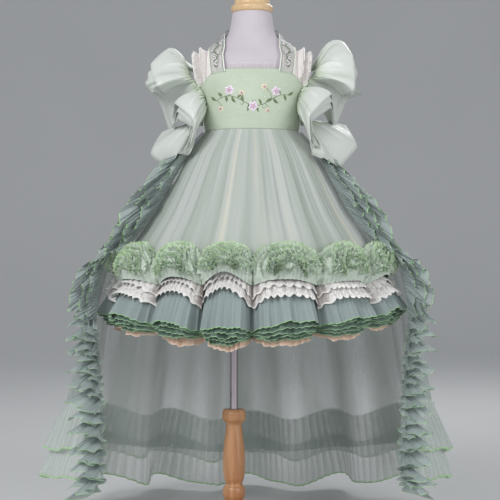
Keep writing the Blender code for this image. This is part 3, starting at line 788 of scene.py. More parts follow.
# %% Bodice panels
def bodice_panel(name, start, end, columns, stitches=()):
    """A panel from one angle to another, with its edges tucked in at the waist and the top."""

    def place(u, v):
        angle = start + (end - start) * u
        around = angle if angle <= 180 else angle - 360
        top = bodice_top(around)
        z = WAIST_Z + (top - WAIST_Z) * v
        tuck = 0.0012 * ease(0.10, 0.0, v) + 0.0008 * ease(0.93, 1.0, v)
        soft = 0.0006 * noise.noise(Vector((angle * 0.05, z * 40, 2.0)))
        return on_trunk(angle, z, 0.0036 - tuck + soft + drag(around, z)), 0.0

    cloth(
        name, columns, 40, place, crepe, 0.112, wall=0.0010,
        on_it=stitches,
    )


bodice_panel("bodice_front", -89.7, 89.7, 130, embroidery)
bodice_panel("bodice_back_right", 90.3, 179.7, 60)
bodice_panel("bodice_back_left", 180.3, 269.7, 60)

# %% [markdown]
# ## The skirt
# Many metres of soft tulle in pale green, cream and grey are gathered into the waist. The folds start tight
# at the seam and open as the bell widens. The folds are a sum of uneven waves, none of them repeating, and
# the material adds the streaks that layers of net show through each other.

# %% Skirt
skirt_tree = skirt_net.node_tree
streak = streaks(skirt_tree, 30.0, 900.0, detail=3.0)
broad = streaks(skirt_tree, 70.0, 1200.0, detail=2.0)
skirt_shader = skirt_tree.nodes["Principled BSDF"]
folded = skirt_shader.inputs["Base Color"].links[0].from_socket
colour = layered(skirt_tree, folded, (streak, 0.52, 0.68, "#CDCDC0"), (broad, 0.55, 0.42, "#A9B2AA"))
skirt_tree.links.new(colour, skirt_shader.inputs["Base Color"])


def skirt_fold(angle, drop):
    """Depth of the skirt's folds from -1 to 1: tight at the waist, and open towards the flounce."""
    wander = 24 * uneven(angle, 5, 1)
    wide = math.sin(math.radians(angle * 17 + wander * 4))
    narrow = math.sin(math.radians(angle * 41 + wander * 9) + 2.2 * uneven(angle, 9, 2))
    tight = math.sin(math.radians(angle * 90 + wander * 12))
    fold = 0.62 * wide * (0.4 + 0.6 * drop) + 0.42 * narrow * (1 - 0.35 * drop) + 0.30 * tight * (1 - drop)
    return fold * (0.75 + 0.35 * uneven(angle, 11, 3))


def skirt_place(u, v):
    """A point of the skirt, from just above its gathers down to its edge."""
    angle = bunch_angle(u)
    top_z = GATHER_Z + 0.001
    z = top_z + (SKIRT_EDGE_Z - top_z) * v
    fold = skirt_fold(angle, v)
    depth = 0.0004 + 0.0052 * ease(0.0, 0.45, v) * (1 - 0.75 * ease(0.72, 0.86, v))
    return bell_point(angle, skirt_radius(angle, z) + 0.0012 * ease(0.02, 0.1, v) + fold * depth, z), fold


cloth(
    "skirt", 720, 28, skirt_place, skirt_net, 0.31, closed=True
)

# %% [markdown]
# ## The flounce, layer by layer
# Under the skirt's edge hang three kinds of ruffle, each gathered onto the one seam: a pleated one in grey
# green, four green ones under it, and a stiff blush petticoat in two layers. Each is cut wider than its
# seam. The gathers are a fast wave for the pleats and a slow one for the flutes, both growing from the seam
# to the hem. The hems lie one below the other, so that each layer shows its rolled edge.

# %% Ruffles under the skirt
SEAM_Z = 0.500
# The outer ruffle's hem: how far out it stands, and how much higher it is in the middle of a bell
RUFFLE_HEM_RADIUS = 0.3060
RUFFLE_RISE = 0.0215


def valley(angle):
    """1 deep between two bells of the flounce, falling to 0 across the first fifth of a bell."""
    t = bunch_at(angle)[1]
    return (1 - ease(0.0, 0.20, min(t, 1 - t))) ** 1.2


def ruffle_radius(angle, share, hem_radius):
    """How far out a layer hangs this share of the way down, without its pleats."""
    top = skirt_radius(angle, SEAM_Z) + 0.0022
    hem = hem_radius - 0.040 * valley(angle) - 0.006 * crease(angle)
    return top + (hem - top) * share**0.8


def ruffle_layer(top_z, inset, hem_radius, above, pleats, pleat_mm, flute_mm, seed):
    """A layer of the flounce: where its seam and hem are, and how deep its pleats and flutes go."""

    def place(u, v):
        angle = bunch_angle(u)
        i, t = bunch_at(angle)
        rise = above * (0.25 + 0.75 * arch(angle) ** 0.7) + 0.0035 * uneven(angle, 22, seed + 5)
        hem_z = bunch_value(angle, 2) + rise
        stretch = 1 + 0.5 * uneven(angle, 14, seed)
        flute = math.sin(math.tau * (3 * t + 0.16 * uneven(angle, 16, seed + 4))) * stretch
        phase = math.tau * (pleats * (i + t) + 1.1 * uneven(angle, 21, seed + 1))
        depth = pleat_mm * (0.25 + 0.75 * v) * (0.75 + 0.45 * uneven(angle, 37, seed + 2))
        pleat = math.sin(phase) + 0.28 * math.sin(2 * phase + 1.1)
        radius = ruffle_radius(angle, v, hem_radius) + inset * (1 - v)
        radius += (flute * flute_mm * v**1.3 + pleat * depth) / 1000
        turn = math.degrees(0.55 * depth * math.cos(phase) / 1000 / radius)
        lift = (0.35 * flute * flute_mm * v + 0.9 * math.cos(phase) * v) / 1000
        z = top_z + (hem_z - top_z) * v + lift
        # Painted light on the pleats' and flutes' crests, painted shade in their valleys, and more painted
        # shade between two bells
        shade = 0.60 * pleat + 0.30 * flute - 0.9 * valley(angle)
        return bell_point(angle + turn, radius, z), within(shade)

    return place


cloth(
    "petticoat", 1200, 6,
    [
        ruffle_layer(0.4876, -0.0044, 0.2700, -0.021, 9, 2.6, 4.5, 11),
        ruffle_layer(0.4872, -0.0074, 0.2590, -0.013, 9, 2.4, 4.0, 12),
    ],
    blush_net, 0.110, closed=True,
)
cloth(
    "under_ruffle", 1300, 6,
    [
        ruffle_layer(0.4886, -0.0022, 0.2990, 0.0120, 11, 2.0, 5.5, 21),
        ruffle_layer(0.4884, -0.0030, 0.2935, 0.0030, 11, 2.0, 5.0, 22),
        ruffle_layer(0.4882, -0.0038, 0.2870, -0.0050, 11, 2.0, 5.0, 23),
        ruffle_layer(0.4880, -0.0046, 0.2800, -0.0110, 11, 2.0, 4.5, 24),
    ],
    shaded_under_net, 0.100, closed=True,
)
cloth(
    "ruffle", 2184, 10, ruffle_layer(SEAM_Z, 0.0, RUFFLE_HEM_RADIUS, RUFFLE_RISE, 13, 2.3, 6.0, 31),
    ruffle_net, 0.100, closed=True,
)

# %% [markdown]
# ## The lace
# Two rows of cotton edging lace, scalloped and cream white, cover the seam of the ruffle. Lace is a net
# ground with cords laid on it in a small repeat, and its gathered top stands up in peaks among the bunches.
# Here the scallops and the peaks are in the sheet's two edges, and the ground, its holes and the thick
# white cord along the scallops are in the material, with painted shade in the deep folds between bunches.

# %% Lace
cotton_lace, tree, shader = new_material("Scalloped cotton lace", Roughness=0.8, Sheen_Weight=0.2)
cut = add_node(tree, "ShaderNodeUVMap", {"uv_map": "Cut"})
# The ground's cells are 1 mm in the real lace. They are drawn 2.4 mm wide and 4.5 mm high, to show
settings = {"Scale": (1000 / 2.4, 1000 / 4.5, 1.0), "Vector": cut}
stretched = add_node(tree, "ShaderNodeMapping", settings)
settings = {"feature": "DISTANCE_TO_EDGE", "Scale": 1.0, "Vector": stretched}
cells = add_node(tree, "ShaderNodeTexVoronoi", settings)
dots = add_node(tree, "ShaderNodeTexVoronoi", {"Scale": 1000 / 8.0, "Randomness": 0.2, "Vector": cut})
fold, hem = [add_node(tree, "ShaderNodeAttribute", {"attribute_name": key}, "Fac") for key in ("FoldShade", "Hem")]
colour = layered(
    tree, "#F2EFEE",
    (cells, 0.10, 0.26, "#CFC9C7"),
    (dots, 0.30, 0.22, "#FAF9F7"),
    # Darker where the folds run deepest: painted shade between the bunches
    (fold, -0.3, -1.2, "#B0A6A2"),
    (hem, 3.6, 2.8, "#F7F5F2"),
)
cords = add_node(tree, "ShaderNodeMapRange", {"From Min": 0.25, "From Max": 0.0, "Value": cells})
surface(tree, shader, colour, cords, 0.5)


LACE_Z = 0.4865


def lace_row(top_drop, drop, stand, peak, seed):
    """A gathered row of lace, with this much of it below the arched seam."""

    def place(u, v):
        angle = bunch_angle(u)
        i, t = bunch_at(angle)
        phase = math.tau * (10 * (i + t) + 0.9 * uneven(angle, 25, seed))
        wave = math.sin(phase) + 0.35 * math.sin(1.7 * phase + 2 * uneven(angle, 12, seed + 2))
        scallop = 0.0024 * math.cos(phase) * ease(0.45, 1.0, v)
        spike = peak * max(0.45 + uneven(angle, 30, seed + 1), 0.0) * (1 - v) ** 1.5
        z = LACE_Z + bunch_value(angle, 1) * arch(angle) - top_drop - drop * v - scallop + spike
        z -= 0.010 * valley(angle) + 0.0025 * uneven(angle, 44, seed + 3) * v
        share = max((SEAM_Z - z) / (SEAM_Z - bunch_value(angle, 2) - RUFFLE_RISE * arch(angle)), 0.0)
        radius = ruffle_radius(angle, share, RUFFLE_HEM_RADIUS) + stand + 0.006 * share * arch(angle)
        radius += 0.0060 * v**1.5 + 0.0026 * wave * (0.25 + 0.75 * v)
        # Painted light and shade on the gathers' waves, and painted shade between two bunches
        shade = 0.5 * wave - 1.3 * valley(angle)
        return bell_point(angle, radius, z), within(shade)

    return place


cloth(
    "lace", 1560, 8,
    [
        lace_row(0.013, 0.0215, 0.0052, 0.003, 41),
        lace_row(-0.002, 0.0175, 0.0080, 0.008, 42),
    ],
    cotton_lace, 0.021, closed=True,
)

# %% [markdown]
# ## The bunches
# Above the lace the net is pulled up into round bunches, drawn into fine gathers just over it. Strips of
# tulle with stretched, overlocked edges are ruched over each dome in arcs, one inside the other, until
# their thin green edges cover it. First comes the dome, then the strips: each stands up from the dome, and
# since its edge is longer than its seam the edge swings from side to side, faster than the eye can follow.


# %% Bunches and curls
def bunch_surface(angle, t):
    """The dome of a bunch: t is 0 at its seam on the skirt and 1 above the lace."""
    fold, lift = crease(angle), bunch_value(angle, 1) * arch(angle)
    seam_z = 0.557 - 0.030 * fold
    rows = (
        (0.0, seam_z, skirt_radius(angle, seam_z) + 0.0022),
        (0.33, 0.5530 - 0.032 * fold, 0.2700 - CREASE_DEPTH * 0.45 * fold),
        (0.67, 0.5150 + 0.6 * lift - 0.016 * fold, 0.2880 - CREASE_DEPTH * 0.90 * fold),
        (1.0, 0.4810 + lift + 0.004 * fold, 0.2810 - CREASE_DEPTH * fold),
    )
    return bell_point(angle, between(rows, t, 2), between(rows, t, 1))


def bunch_frame(angle, t):
    """A point on the dome, with the directions out of it, round it and down it."""
    point = bunch_surface(angle, t)
    around = (bunch_surface(angle + 0.3, t) - point).normalized()
    step = 0.01 if t < 0.98 else -0.01
    down = (bunch_surface(angle, t + step) - point).normalized() * (1 if step > 0 else -1)
    return point, around.cross(down).normalized() * -1, around, down


def bunch_place(u, v):
    """A point of the crumpled net over the domes, with its gathers near the lace."""
    angle = bunch_angle(u)
    i, t = bunch_at(angle)
    point, out, *_ = bunch_frame(angle, v)
    crumple = noise.noise(point * 85) + 0.6 * noise.noise(point * 190)
    gather = math.sin(math.tau * (13 * (i + t) + 1.2 * uneven(angle, 28, 35))) * ease(0.45, 0.75, v)
    lift = 0.0038 * crumple * math.sin(math.pi * v) ** 0.5 + 0.0013 * gather
    # Painted light and shade on the crumples and gathers, and painted shade in the folds between two bunches
    shade = 1.5 * crumple * (1 - 0.6 * ease(0.45, 0.75, v)) + 0.6 * gather - 1.2 * valley(angle)
    return point + out * lift, within(shade)


cloth("pouf", 1176, 18, bunch_place, bunch_net, 0.105, closed=True)


DOME_RADIUS = 0.27
CURL_LENGTH = 0.0088


def curl_strip(start, end, level, side_gap, seed):
    """A ruched strip in an arc over a dome: level is how far down the dome its middle lies."""
    length = 1.1 * math.radians(end - start) * DOME_RADIUS + 0.10 * (1 - level)
    curls = length / (CURL_LENGTH + 0.0020 * uneven_line(seed * 0.37, 3))
    foot = min(level + 0.45, 0.86) + 0.08 * uneven_line(seed * 0.73, 9)

    def place(u, v):
        over = math.sin(math.pi * u) ** 0.55
        t = foot + (level - foot) * over + 0.075 * uneven_line(u * 5, seed)
        share = 0.5 - (0.5 - side_gap) * math.cos(math.pi * u) + 0.045 * uneven_line(u * 6, seed + 0.3)
        angle = start + (end - start) * share
        point, out, around, down = bunch_frame(angle, min(max(t, 0.0), 0.99))
        phase = math.tau * (curls * u + 0.5 * uneven_line(u * curls * 0.45, seed + 0.5)) + seed
        size = 0.9 + 0.7 * uneven_line(u * 9, seed + 0.7)
        swing = (0.0005 + 0.0042 * v**1.3 * size) * math.sin(phase)
        slip = 0.0026 * v * math.sin(2 * phase + 0.7 * seed)
        tall = 0.0085 * v * (0.9 + 0.35 * math.cos(2 * phase + seed) + 0.3 * uneven_line(u * 7, seed + 0.9))
        # Under the train the strips are pressed flatter
        tall *= 1 - 0.4 * ease(68, 92, 180 - abs(180 - angle % 360))
        across = (down * over + around * (1 - over)).normalized()
        along = (around * over - down * (1 - over)).normalized()
        point = point + out * tall + across * swing + along * slip - down * 0.004 * v
        return point, math.sin(phase) * (0.4 + 0.6 * v)

    return place


strips = {"front": [], "back": []}
for i, row in enumerate(BUNCHES):
    start, end = row[0], bunch_end(i)
    half = strips["front" if start < 100 else "back"]
    for k in range(7):
        half.append(curl_strip(start, end, 0.17 + 0.10 * k, 0.02 + 0.050 * k, i * 20 + k * 1.7))
    for k in range(3):
        half.append(curl_strip(start, end, 0.24 + 0.15 * k, 0.25 + 0.05 * k, i * 20 + k * 2.3 + 0.4))
for half, rows in (("front", 3), ("back", 2)):
    cloth(
        f"pouf_curls_{half}", 168, rows, strips[half], curl_net, 0.0105,
        own_solid=False,
    )

# %% [markdown]
# ## The train
# The train is one sheer panel round the back and sides, gathered into the waist and open at the front.
# Where it passes the flounce it stands off it, and at the hem it falls into deep flutes. Net this sheer is
# drawn by its folds alone, so the panel is nearly clear and its folds are many: slow waves for the flutes,
# and narrow ones that wander as they fall.

# %% Sizes of the train
TRAIN_EDGE_ANGLE = 76.0
# The panel ends this far above the hem, under the tiers
PANEL_END = 0.085
# From this height down, over this much, the plain bell turns into flutes
FLUTES_START_Z = 0.560
FLUTES_HEIGHT = 0.470
TRAIN = (
    # height, distance off the skirt's bell at the front edges and at the back
    (GATHER_Z, 0.0020, 0.0020),
    (0.740, 0.0090, 0.0090),
    (0.690, 0.0110, 0.0120),
    (0.620, 0.0120, 0.0160),
    (0.575, 0.0160, 0.0270),
    (0.545, 0.0430, 0.0580),
    (0.490, 0.0560, 0.0660),
    (0.400, 0.0670, 0.0815),
    (0.330, 0.0595, 0.0875),
    (0.200, 0.0515, 0.0995),
    (0.060, 0.0495, 0.1055),
)
TRAIN_HEM = (
    # angle, radius
    (76.0, 0.306),
    (87.0, 0.345),
    (103.0, 0.405),
    (117.0, 0.380),
    (131.0, 0.440),
    (143.0, 0.390),
    (155.0, 0.446),
    (167.0, 0.398),
    (180.0, 0.452),
    (193.0, 0.396),
    (205.0, 0.448),
    (217.0, 0.392),
    (229.0, 0.438),
    (242.0, 0.388),
    (257.0, 0.425),
    (273.0, 0.345),
    (284.0, 0.306),
)


def hem_height(angle):
    """The hem all but sweeps the floor behind and rises to its front edges."""
    return 0.006 + 0.082 * ease(0, 180 - TRAIN_EDGE_ANGLE, abs(180 - angle))


def train_radius(angle, z):
    """The train's fall, from a plain bell at the flounce to deep flutes at the hem."""
    behind = ease(TRAIN_EDGE_ANGLE, 130, 180 - abs(180 - angle))
    edge, back = between(TRAIN, z, 1), between(TRAIN, z, 2)
    fall = between(SKIRT, z, 1) + edge + (back - edge) * behind
    share = max((FLUTES_START_Z - z) / FLUTES_HEIGHT, 0.0) ** 1.35
    return fall + (between(TRAIN_HEM, angle, 1) - fall) * share


def train_angle(u):
    """The angle of a column of the train, from its front edge on one side round to the other."""
    return TRAIN_EDGE_ANGLE + (360 - 2 * TRAIN_EDGE_ANGLE) * u


def train_point(angle, z, out=0.0):
    """A point on the train's fall, or this far outside it."""
    return bell_point(angle, train_radius(angle, z) + out, z)


# %% Train panel
def panel_fold(angle, z):
    """How far the panel stands off its fall at a place, and how deep in a fold that place is."""
    v = min((GATHER_Z - z) / (GATHER_Z - PANEL_END - hem_height(angle)), 1.0)
    wander = uneven_line(v * 1.6 + 3, 50) * 2.0
    slow = math.sin(math.radians((angle + wander) * 11) + 2.5 * uneven(angle, 7, 51))
    quick = math.sin(math.radians((angle - wander) * 31) + 3.0 * uneven(angle, 13, 52))
    tight = math.sin(math.radians(angle * 75) + 2.0 * uneven(angle, 20, 53))
    depth = 0.0010 + 0.0050 * ease(0.02, 0.30, v) * (1 - 0.5 * ease(0.55, 0.9, v))
    fold = 0.55 * slow * (0.35 + 0.65 * v) + 0.45 * quick + 0.30 * tight * (1 - v)
    return 0.0035 + depth * fold + 0.0015 * ease(0.0, 0.05, v), fold


def train_place(u, v):
    """A point of the panel, from its gathers at the waist to where the tiers cover its end."""
    angle = train_angle(u)
    z = GATHER_Z + (hem_height(angle) + PANEL_END - GATHER_Z) * v
    outward, fold = panel_fold(angle, z)
    return train_point(angle, z, outward), within(fold)


cloth("train_panel", 560, 36, train_place, sheer_net, 0.70)

# %% [markdown]
# ## Hem tiers
# Two gathered tiers finish the train, one over the other, each with a small heading above its gathering
# thread and a rolled pale green edge. Each is gathered to about three quarters of its width, in close
# pleats that fan out at the edge.


# %% Tiers
TIER_HEIGHT = 0.086
HEADING = 0.09
FLUTE_MIDDLE, FLUTE_DEPTH = 0.418, 0.03
HEM_RADIUS = 0.4


def tier_place(above_hem, flare, pleats, seed):
    """A tier whose gathering thread is this far above the hem, with its heading above the thread."""

    def place(u, v):
        angle = train_angle(u)
        # Shares of the height below the thread, and of the heading above it
        fall = (v - HEADING) / (1 - HEADING)
        below, over = max(fall, 0.0), max(-fall, 0.0)
        # 1 where the train's hem swings out in a bell, -1 where it swings in
        bell = (between(TRAIN_HEM, angle, 1) - FLUTE_MIDDLE) / FLUTE_DEPTH
        bell *= ease(90, 120, 180 - abs(180 - angle))
        seam_z = hem_height(angle) + above_hem + 0.0105 * (1 + bell)
        z = seam_z - TIER_HEIGHT * fall - 0.0031 * (1 + bell) * below
        phase = math.tau * (pleats * u + 1.1 * uneven(angle, 31, seed))
        depth = (0.8 + 3.4 * below**0.8 + 9.0 * over) / 1000
        depth *= 0.75 + 0.4 * uneven(angle, 43, seed + 1)
        pleat = math.sin(phase) + 0.3 * math.sin(2 * phase + 0.8)
        flute = math.sin(math.tau * 16 * u + 1.5 * uneven(angle, 9, seed + 2))
        out = panel_fold(angle, seam_z)[0] + 0.0016 + flare * below**0.85 + pleat * depth
        out += (0.006 * flute + 0.012 * bell) * below + 0.02 * over
        turn = math.degrees(0.5 * depth * math.cos(phase) / HEM_RADIUS)
        z += (0.0030 * flute + 0.0025 * uneven(angle, 33, seed + 3)) * below
        # Painted light and shade on the pleats and flutes; bells that swing in are painted paler, and those
        # that swing out darker
        return train_point(angle + turn, z, out), within(0.6 * pleat + 0.2 * flute - 0.7 * bell)

    return place


for name, place in (
    ("hem_tier_upper", tier_place(0.146, 0.021, 104, 61)),
    ("hem_tier_lower", tier_place(0.088, 0.0125, 112, 71)),
):
    cloth(name, 1400, 10, place, tier_net, 0.095)

# %% [markdown]
# ## Cascades
# Down each front edge of the train runs a cascade: sheer strips gathered on their short edge, which hang
# out and down from it. The free edge is much longer than the seam, and the spare length has to go
# somewhere: it falls into lobes that swing forward and back and up and down by turns, with small curls in
# the rolled edge itself.

# %% Cascades
CASCADE_TOP_Z = 0.750
CASCADE_FOOT_Z = 0.108
CASCADE_WIDTH = (
    # share of the length, width
    (0.0, 0.058),
    (0.06, 0.088),
    (0.12, 0.102),
    (0.20, 0.096),
    (0.27, 0.082),
    (0.34, 0.062),
    (0.50, 0.063),
    (0.70, 0.069),
    (1.0, 0.082),
)


def cascade_strip(side, width_share, forward, lean, lobes, seed):
    """One strip of a cascade: side is -1 or 1, and forward is how far its seam is in front of the train."""
    out_angle = math.radians(TRAIN_EDGE_ANGLE - 20)
    outward = Vector((math.sin(out_angle), -math.cos(out_angle), 0))
    ahead = Vector((-math.cos(out_angle), -math.sin(out_angle), 0))

    def place(u, v):
        root = train_point(TRAIN_EDGE_ANGLE, CASCADE_TOP_Z + (CASCADE_FOOT_Z - CASCADE_TOP_Z) * u)
        hanging = ease(0.40, 0.56, u)
        phase = math.tau * (lobes * u + 0.40 * uneven_line(u * lobes * 0.5, seed + 1))
        slow = math.sin(math.tau * (lobes * 0.40 * u + 0.5 * uneven_line(u * 7, seed + 5)) + seed)
        size = 0.85 + 0.55 * uneven_line(u * 11, seed + 2)
        width = between(CASCADE_WIDTH, u, 1) * width_share * (1 + 0.10 * uneven_line(u * 15, seed + 3))
        width *= (1 + 0.10 * slow * (1 - hanging)) * (1.0 if side < 0 else 0.93)
        fine = math.tau * (lobes * 4.3 * u + 0.8 * uneven_line(u * 47, seed + 4))
        pleat = math.sin(fine) + 0.3 * math.sin(2 * fine + 1)
        swing, lag = math.cos(phase), math.sin(phase)
        # High up, the lobes swing forward and back. Where the strip hangs, they curl up as well
        edge = v**3 * size * (1 - 0.3 * hanging)
        loop = size * v ** (2.4 - 1.2 * hanging)
        reach = 1 - 0.04 * lag * v**3
        reach -= hanging * (0.08 + 0.46 * (1 - swing) + 0.05 * pleat * v * v) * v**0.5
        point = root + outward * (width * v * reach)
        lobe = (0.0050 + 0.0055 * hanging) * loop * (swing + (1.2 * lag - swing) * hanging)
        point += ahead * (forward + lean * v + lobe)
        crimp = (0.0009 + 0.0014 * v) * pleat * (0.4 + 0.6 * v)
        point += ahead * (0.0150 * slow * v**1.3 * (1 - hanging) + crimp)
        point += ahead * (0.0032 * edge * math.cos(2.7 * phase + seed))
        point.z -= width * ((0.44 - 0.04 * hanging) * v + 0.08 * v * v)
        point.z += (0.0080 - 0.0035 * hanging) * lag * loop
        point.z += 0.0030 * edge * math.sin(2.7 * phase + seed) + 0.0020 * v**3 * math.cos(fine)
        point.x = GOWN_AXIS_X + side * (point.x - GOWN_AXIS_X)
        return point, within(0.35 * swing + 0.20 * slow + 0.55 * pleat)

    return place


for name, side, seed in (("left", -1, 81), ("right", 1, 91)):
    cloth(
        f"cascade_{name}_outer", 1300, 12, cascade_strip(side, 1.0, 0.0022, 0.0, 21, seed),
        cascade_net, 0.085,
    )
    cloth(
        f"cascade_{name}_under", 1200, 9,
        [
            cascade_strip(side, 0.80, 0.0085, 0.006, 23, seed + 4),
            cascade_strip(side, 0.56, 0.0145, 0.010, 25, seed + 8),
        ],
        cascade_net, 0.060,
    )

# %% [markdown]
# ## Yoke
# The yoke is cream net pleated as fine as a pencil line, laid over the shoulders and across the chest, with
# its outer edge left as a frothy frill. The pleats run over the shoulder from front to back, so the wave is
# across.

# %% Yoke
cream_net = tulle("Fine pleated cream net", "#E4DBD8", "#F2EDEB", "#F9F6F4", opacity=0.85, rolled_mm=1.4)


YOKE_OFF = 0.0014
CHEST_HALF_WIDTH = 0.108


def ridge_height(across):
    """The height where the shoulder's line is this far from the gown's axis."""
    low, high = 0.915, 1.0
    for _ in range(30):
        middle = (low + high) / 2
        if between(TRUNK, middle, 1) + YOKE_OFF > across:
            low = middle
        else:
            high = middle
    return low


def over_shoulder(across, turn):
    """A point of the yoke this far across: turn runs from -1 at the front to 1 at the back."""
    edge_angle = math.degrees(math.asin(min(across / CHEST_HALF_WIDTH, 0.99)))
    foot = bodice_top(edge_angle if turn < 0 else 180 - edge_angle) - 0.004
    ridge = ridge_height(across)
    z = foot + (ridge - foot) * math.cos(turn * math.pi / 2) ** 0.8
    half_width, half_depth = [between(TRUNK, z, c) + YOKE_OFF for c in (1, 2)]
    depth = half_depth * math.sqrt(max(1 - (across / half_width) ** 2, 0.0))
    return Vector((across, math.copysign(depth, turn), z))


def yoke_place(side, seed):
    """The pleated net from beside the neck out over the shoulder, ending in a frill that stands out."""

    def place(u, v):
        turn = 2 * u - 1
        flat = math.sin(min(v / 0.6, 1.0) * math.pi / 2)
        point = over_shoulder(0.060 + 0.0415 * flat, turn)
        ends = 0.4 + 0.6 * max(math.cos(turn * math.pi / 2), 0.0) ** 0.5
        stand = max(v - 0.6, 0.0) / 0.4
        crimp = math.sin(math.tau * (13 * v + 0.35 * uneven_line(u * 9, seed)))
        phase = math.tau * (38 * u + 1.2 * uneven_line(u * 14, seed + 1))
        ripple, curl = math.sin(phase), math.cos(phase)
        point.x += stand * 0.0175 * ends + 0.0018 * stand**3 * curl * ends
        point.z += stand * 0.0045 + 0.0034 * stand**3 * ripple * ends + 0.0005 * crimp * (1 - stand)
        point.y += stand**2 * 0.0011 * ends * curl
        point.y -= 0.0006 * crimp * (1 - stand) * math.copysign(1, -turn)
        point.x = GOWN_AXIS_X + side * point.x
        return point, within(0.8 * crimp * (1 - stand) + stand * ripple)

    return place


def frill_place(side, inward, out, rise, low, high, seed):
    """A narrow frill round the armhole, in front of where the satin is gathered in."""

    def place(u, v):
        turn = low + (high - low) * u
        point = over_shoulder(0.1005 - inward, turn)
        ends = 0.5 + 0.5 * math.sin(math.pi * u) ** 0.4
        phase = math.tau * (33 * u + 1.0 * uneven_line(u * 14, seed))
        point.x += v * (out + 0.0020 * v * v * math.sin(phase)) * ends
        point.z += v * rise * max(math.cos(turn * math.pi / 2), 0.0) + 0.0034 * v * v * math.cos(phase) * ends
        point.y += v * v * 0.0012 * math.cos(phase) * ends
        point.y -= (0.0030 + 0.0160 * v * max(-math.sin(turn * math.pi / 2), 0.0)) * ends
        point.x = GOWN_AXIS_X + side * point.x
        return point, within(0.3 + 0.8 * math.sin(phase))

    return place


for name, side, seed in (("yoke_left", -1, 101), ("yoke_right", 1, 111)):
    cloth(name, 380, 40, yoke_place(side, seed), cream_net, 0.075)
    cloth(
        f"{name}_frill", 420, 5,
        [
            frill_place(side, 0.002, 0.0175, 0.0050, -1.0, 0.9, seed + 3),
            frill_place(side, 0.010, 0.0125, 0.0045, -0.97, 0.8, seed + 6),
        ],
        cream_net, 0.018, own_solid=False,
    )


def chest_place(u, v):
    """A point of the narrow band of net above the bodice's front edge."""
    angle = -24.5 + 49.0 * u
    foot = bodice_top(angle) - 0.004
    pleat = math.sin(math.tau * (34 * u + 0.6 * uneven_line(u * 19, 108)))
    return on_trunk(angle, foot + 0.0158 * v, 0.0016 + 0.0005 * pleat), 0.5 + 0.2 * pleat


chest_net = tulle("Fine pleated cream net, one layer", "#DAD3D6", "#E8E2E4", opacity=0.2)
cloth("yoke_centre", 240, 6, chest_place, chest_net, 0.016)

# %% [markdown]
# ## Halter ribbon
# A sheer ribbon with stitched edges crosses the yoke and meets behind the neck. Its sprigs of small leaves
# are satin stitch: threads laid side by side until they stand up from the cloth.

# %% Halter
HALTER = (
    # inner angle and height, outer angle and height
    (27.5, 0.8990, 46.0, 0.8960),
    (31.0, 0.9300, 50.0, 0.9250),
    (40.0, 0.9560, 61.0, 0.9440),
    (78.0, 0.9820, 92.0, 0.9600),
    (115.0, 0.9940, 118.0, 0.9680),
    (150.0, 1.0000, 150.0, 0.9740),
    (179.6, 1.0020, 179.6, 0.9760),
)
numbered = [(k, *row) for k, row in enumerate(HALTER)]
RIBBON_OFF = 0.0062


def halter_point(side, along, across, offset):
    """A point of the ribbon: along runs from the bodice to the nape, across from the inner edge out."""
    place = along * (len(HALTER) - 1)
    inner_angle, inner_z, outer_angle, outer_z = [between(numbered, place, c) for c in (1, 2, 3, 4)]
    angle = inner_angle + (outer_angle - inner_angle) * across
    return on_trunk(side * angle, inner_z + (outer_z - inner_z) * across, offset)


organza, tree, shader = new_material("Sheer ribbon with stitched edges", Roughness=0.5, Sheen_Weight=0.2)
hem = add_node(tree, "ShaderNodeAttribute", {"attribute_name": "Hem"}, "Fac")
mesh_lines = streaks(tree, 1.2, 1.2, detail=1.0)
inner_edge = add_node(tree, "ShaderNodeMapRange", {"From Min": 22.2, "From Max": 22.6, "Value": hem})
outer_edge = add_node(tree, "ShaderNodeMapRange", {"From Min": 1.7, "From Max": 1.3, "Value": hem})
stitched = add_node(tree, "ShaderNodeMath", {"operation": "MAXIMUM", 0: inner_edge, 1: outer_edge})
# A dark line 0.8 mm wide runs beside each stitched edge
outer_line, inner_line = [
    add_node(tree, "ShaderNodeMath", {"operation": "COMPARE", 0: hem, 1: from_edge, 2: 0.4})
    for from_edge in (2.2, 21.7)
]
lines = add_node(tree, "ShaderNodeMath", {"operation": "MAXIMUM", 0: outer_line, 1: inner_line})
colour = layered(
    tree, "#C9C8C6",
    (mesh_lines, 0.4, 0.7, "#EDEAE8"),
    (stitched, 0.0, 1.0, "#E9EEE0"),
    (lines, 0.0, 1.0, "#5E7160"),
)
tree.links.new(colour, shader.inputs["Base Color"])
# The net between the edges is half seen through
solid = add_node(tree, "ShaderNodeMath", {"operation": "MAXIMUM", 0: stitched, 1: lines})
closed = add_node(tree, "ShaderNodeMapRange", {"From Min": -0.55, "From Max": 0.6, "Value": solid})
tree.links.new(closed, shader.inputs["Alpha"])


def sprigs(side):
    """Pairs of small outlined leaves up the ribbon, on a stem that winds from side to side."""
    outlines, hearts = bmesh.new(), bmesh.new()

    def over(x, z, lift):
        return halter_point(side, x, z, RIBBON_OFF + 0.0007 + lift)

    def stem(u):
        return 0.06 + 0.62 * u, 0.5 + 0.16 * math.sin(math.tau * 3.5 * u)

    stitch(outlines, stem, lambda u: 0.035, 0.0006, 90, over)
    for k in range(9):
        u = 0.06 + 0.107 * k
        x, z = stem(u)
        away = 1 if k % 2 else -1
        for slant, reach in ((0.045, 0.34), (0.020, 0.26)):

            def leaf(t, x=x, z=z, slant=slant, reach=reach, away=away):
                return x + slant * t * (1 if reach > 0.3 else -1), z + away * reach * t

            stitch(outlines, leaf, leaf_width(0.034, power=0.7, least=0.004), 0.0006, 10, over)
            stitch(hearts, leaf, leaf_width(0.026, rate=1.0, end=0.97, power=0.9), 0.0012, 10, over)
    name = "left" if side < 0 else "right"
    return [
        finished(outlines, f"halter_{name}_outlines", dark_thread),
        finished(hearts, f"halter_{name}_leaves", pale_thread),
    ]


